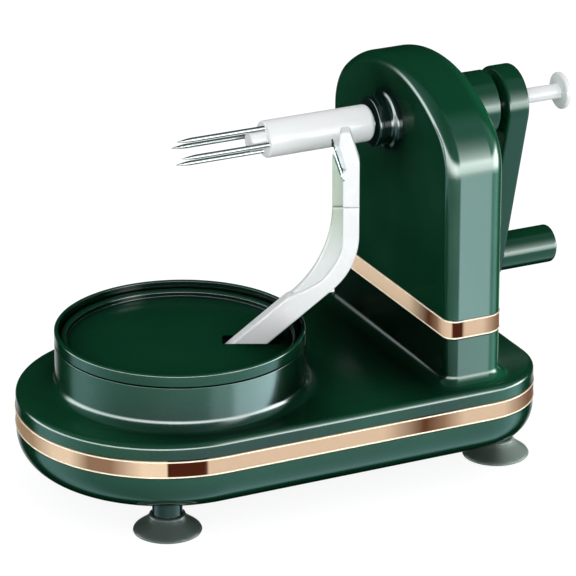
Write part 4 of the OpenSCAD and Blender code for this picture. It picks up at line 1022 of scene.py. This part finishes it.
studio = {
    "toward": (-0.435, -0.900, 0), "right": (0.900, -0.435, 0),  # level directions to the front and its right
    "lowTint": (0.55, 0.97, 1.0), "brightTint": (0.93, 1.0, 0.98), "roomTint": (0.99, 1.0, 1.0),
    "lowAround": [  # stops by the angle from the front, in degrees
        (-180, 0), (-121, 0), (-112, 1.2), (-95, 1.7), (-80, 1.4), (-60, 0.85), (-27, 0.85), (0, 1.15),
        (33, 1.4), (51, 1.5), (69, 2.0), (95, 2.6), (106, 1.6), (116, 0.1), (125, 0), (180, 0),
    ],
    "lowHeight": [  # stops by height, from straight down to straight up
        (-1, 0.7), (-0.9, 0.75), (-0.67, 0.9), (-0.42, 1), (-0.2, 1), (0.3, 0.6), (0.6, 0.4), (0.95, 0.25),
        (1, 0.2),
    ],
    "stripAround": [
        (-180, 0), (-121, 0), (-112, 9), (-92, 13), (-60, 14), (-30, 18), (0, 22), (30, 18), (60, 15),
        (100, 26), (112, 4), (122, 0), (180, 0),
    ],
    "stripHeight": [
        (-1, 0), (-0.33, 0), (-0.25, 0.2), (-0.14, 0.8), (-0.02, 1), (0.08, 0.9), (0.15, 0.3), (0.21, 0),
        (1, 0),
    ],
    "patchAround": [(-180, 0), (36, 0), (46, 9), (57, 9), (66, 0), (180, 0)],
    "patchHeight": [
        (-1, 0), (0, 0), (0.1, 0.8), (0.2, 1), (0.35, 0.6), (0.5, 0.28), (0.7, 0.1), (0.9, 0.02), (1, 0),
    ],
    "backAround": [(-180, 0.8), (-158, 0.6), (-146, 0), (140, 0), (155, 0.6), (180, 0.8)],
    "backHeight": [(-1, 0), (-0.6, 0), (-0.5, 1), (-0.3, 1), (-0.18, 0), (1, 0)],
    "roomAround": [
        (-180, 0.6), (-130, 0.55), (-80, 0.85), (-30, 1.2), (30, 1.25), (90, 1.1), (140, 0.7), (180, 0.6),
    ],
    "roomHeight": [(-1, 0.8), (-0.3, 0.9), (0, 0.97), (0.5, 1), (1, 1)],
}
floorLook = {
    "half": 6.0,
    "sockets": {
        "Base Color": (0.17, 0.172, 0.171, 1), "Roughness": 0.8, "Specular IOR Level": 0,
        "Emission Color": (1, 1, 1, 1), "Emission Strength": 0.90,
    },
}


def makeFloor():
    mat, tree, skin = newFinish("paleFloor")
    for socket, value in floorLook["sockets"].items():
        skin.inputs[socket].default_value = value
    half = floorLook["half"]
    corners = [(-half, -half, 0), (half, -half, 0), (half, half, 0), (-half, half, 0)]
    mesh = bpy.data.meshes.new("floor")
    mesh.from_pydata(corners, [], [(0, 1, 2, 3)])
    mesh.materials.append(mat)
    floor = addObject("floor", mesh)
    floor.visible_glossy = False
    floor.visible_diffuse = False


def lightOf(tree, strength, color):
    node = tree.nodes.new("ShaderNodeBackground")
    node.inputs["Color"].default_value = (*color, 1)
    if isinstance(strength, (int, float)):
        node.inputs["Strength"].default_value = strength
    else:
        tree.links.new(strength, node.inputs["Strength"])
    return node.outputs["Background"]


def choose(tree, fac, first, second):
    node = tree.nodes.new("ShaderNodeMixShader")
    tree.links.new(fac, node.inputs[0])
    tree.links.new(first, node.inputs[1])
    tree.links.new(second, node.inputs[2])
    return node.outputs["Shader"]


def makeWorld():
    world = bpy.data.worlds.new("studio")
    bpy.context.scene.world = world
    world.use_nodes = True
    tree = world.node_tree
    tree.nodes.clear()
    out = tree.nodes.new("ShaderNodeOutputWorld")
    ray = tree.nodes.new("ShaderNodeTexCoord").outputs["Generated"]
    right, toward = dotWith(tree, ray, studio["right"]), dotWith(tree, ray, studio["toward"])
    turn = reckon(tree, "MULTIPLY", reckon(tree, "ARCTAN2", right, toward), 180 / math.pi)
    height = dotWith(tree, ray, (0, 0, 1))

    def glow(name):
        around = curveOf(tree, turn, -180, 180, studio[name + "Around"])
        return reckon(tree, "MULTIPLY", around, curveOf(tree, height, -1, 1, studio[name + "Height"]))

    both = tree.nodes.new("ShaderNodeAddShader")
    tree.links.new(lightOf(tree, glow("low"), studio["lowTint"]), both.inputs[0])
    bright = reckon(tree, "ADD", reckon(tree, "ADD", glow("strip"), glow("patch")), glow("back"))
    tree.links.new(lightOf(tree, bright, studio["brightTint"]), both.inputs[1])
    room = lightOf(tree, glow("room"), studio["roomTint"])
    path = tree.nodes.new("ShaderNodeLightPath")
    seen = choose(tree, path.outputs["Is Glossy Ray"], room, both.outputs["Shader"])
    seen = choose(tree, path.outputs["Is Camera Ray"], seen, lightOf(tree, 1.0, (1, 1, 1)))
    tree.links.new(seen, out.inputs["Surface"])


columnPieces = ["columnHousing", "columnStub", "columnRearCover"]
columnBand = ["columnTrimBand", "columnTrimEdges"]
drumPieces = ["drumWall", "turntable"]
cardTint = (0.71, 0.96, 1.0)
cards = {  # seen only in gloss; a narrow spread dims a card towards its edges
    "columnCard": {"place": (0.33, -0.60, -0.15), "target": (0.06, -0.06, 0.11), "size": (0.32, 0.28),
                   "power": 0.051, "spread": 32, "on": columnPieces},
    "drumCardWide": {"place": (0.451, -0.608, -0.244), "target": (-0.038, -0.05, 0.057),
                     "size": (1.2, 0.25), "power": 1.7, "spread": 180, "on": drumPieces},
    "drumCardRight": {"place": (0.548, -0.504, -0.244), "target": (-0.038, -0.05, 0.057),
                      "size": (0.78, 0.25), "power": 2.3, "spread": 180, "on": drumPieces},
}
lamps = {  # seen in everything but gloss
    "rimLight": {"place": (0.92, -0.15, 0.13), "target": (0.07, 0, 0.12), "size": (0.3, 0.3),
                 "power": 16, "spread": 180, "on": columnPieces},
    "cupLight": {"place": (0.95, -0.45, 0.1), "target": (0.079, -0.036, 0.01), "size": (0.2, 0.2),
                 "power": 40, "spread": 180, "on": ["suctionCupFrontRight"]},
    "bandLight": {"place": (-0.95, 0.15, 0.15), "target": (0.04, 0, 0.07), "size": (0.3, 0.3),
                  "power": 4.5, "spread": 180, "on": columnBand},
}


def areaLight(name, light, tint, inGloss):
    data = bpy.data.lights.new(name, "AREA")
    data.shape = "RECTANGLE"
    data.size, data.size_y = light["size"]
    data.energy = light["power"]
    data.spread = math.radians(light["spread"])
    data.color = tint
    obj = addObject(name, data)
    obj.location = light["place"]
    way = Vector(light["target"]) - Vector(light["place"])
    obj.rotation_euler = way.to_track_quat("-Z", "Y").to_euler()
    obj.visible_camera = False
    obj.visible_diffuse = not inGloss
    obj.visible_glossy = inGloss
    lit = bpy.data.collections.new(name + "Lit")
    for each in light["on"]:
        lit.objects.link(bpy.data.objects[each])
    obj.light_linking.receiver_collection = lit


view = {
    "place": (-690.7, -1539.3, 776.3), "turn": -25.77, "rise": 22.11, "lens": 261.4, "sensor": 36, "far": 20,
}


def makeCamera():
    data = bpy.data.cameras.new("camera")
    data.sensor_width = view["sensor"]
    data.lens = view["lens"]
    data.clip_end = view["far"]
    cam = addObject("camera", data)
    turn, rise = math.radians(view["turn"]), math.radians(view["rise"])
    back = Vector((math.sin(turn) * math.cos(rise), -math.cos(turn) * math.cos(rise), math.sin(rise)))
    cam.location = atPoint(*view["place"])
    cam.rotation_mode = "QUATERNION"
    cam.rotation_quaternion = (-back).to_track_quat("-Z", "Y")
    bpy.context.scene.camera = cam


makeFloor()
makeWorld()
for name, light in cards.items():
    areaLight(name, light, cardTint, True)
for name, light in lamps.items():
    areaLight(name, light, (1, 1, 1), False)
unmirrored = [
    "baseCover", *columnBand, "forkCollar", "forkTube", "pushRod",
    "peelingArm", "peelingArmWeb", "cutterHead",
]
for obj in [nodes["crank_shaft"]] + [bpy.data.objects[name] for name in unmirrored]:
    obj.visible_glossy = False  # so the gloss beside it mirrors the studio
bpy.context.scene.view_settings.view_transform = "Standard"
makeCamera()
print("stage made")
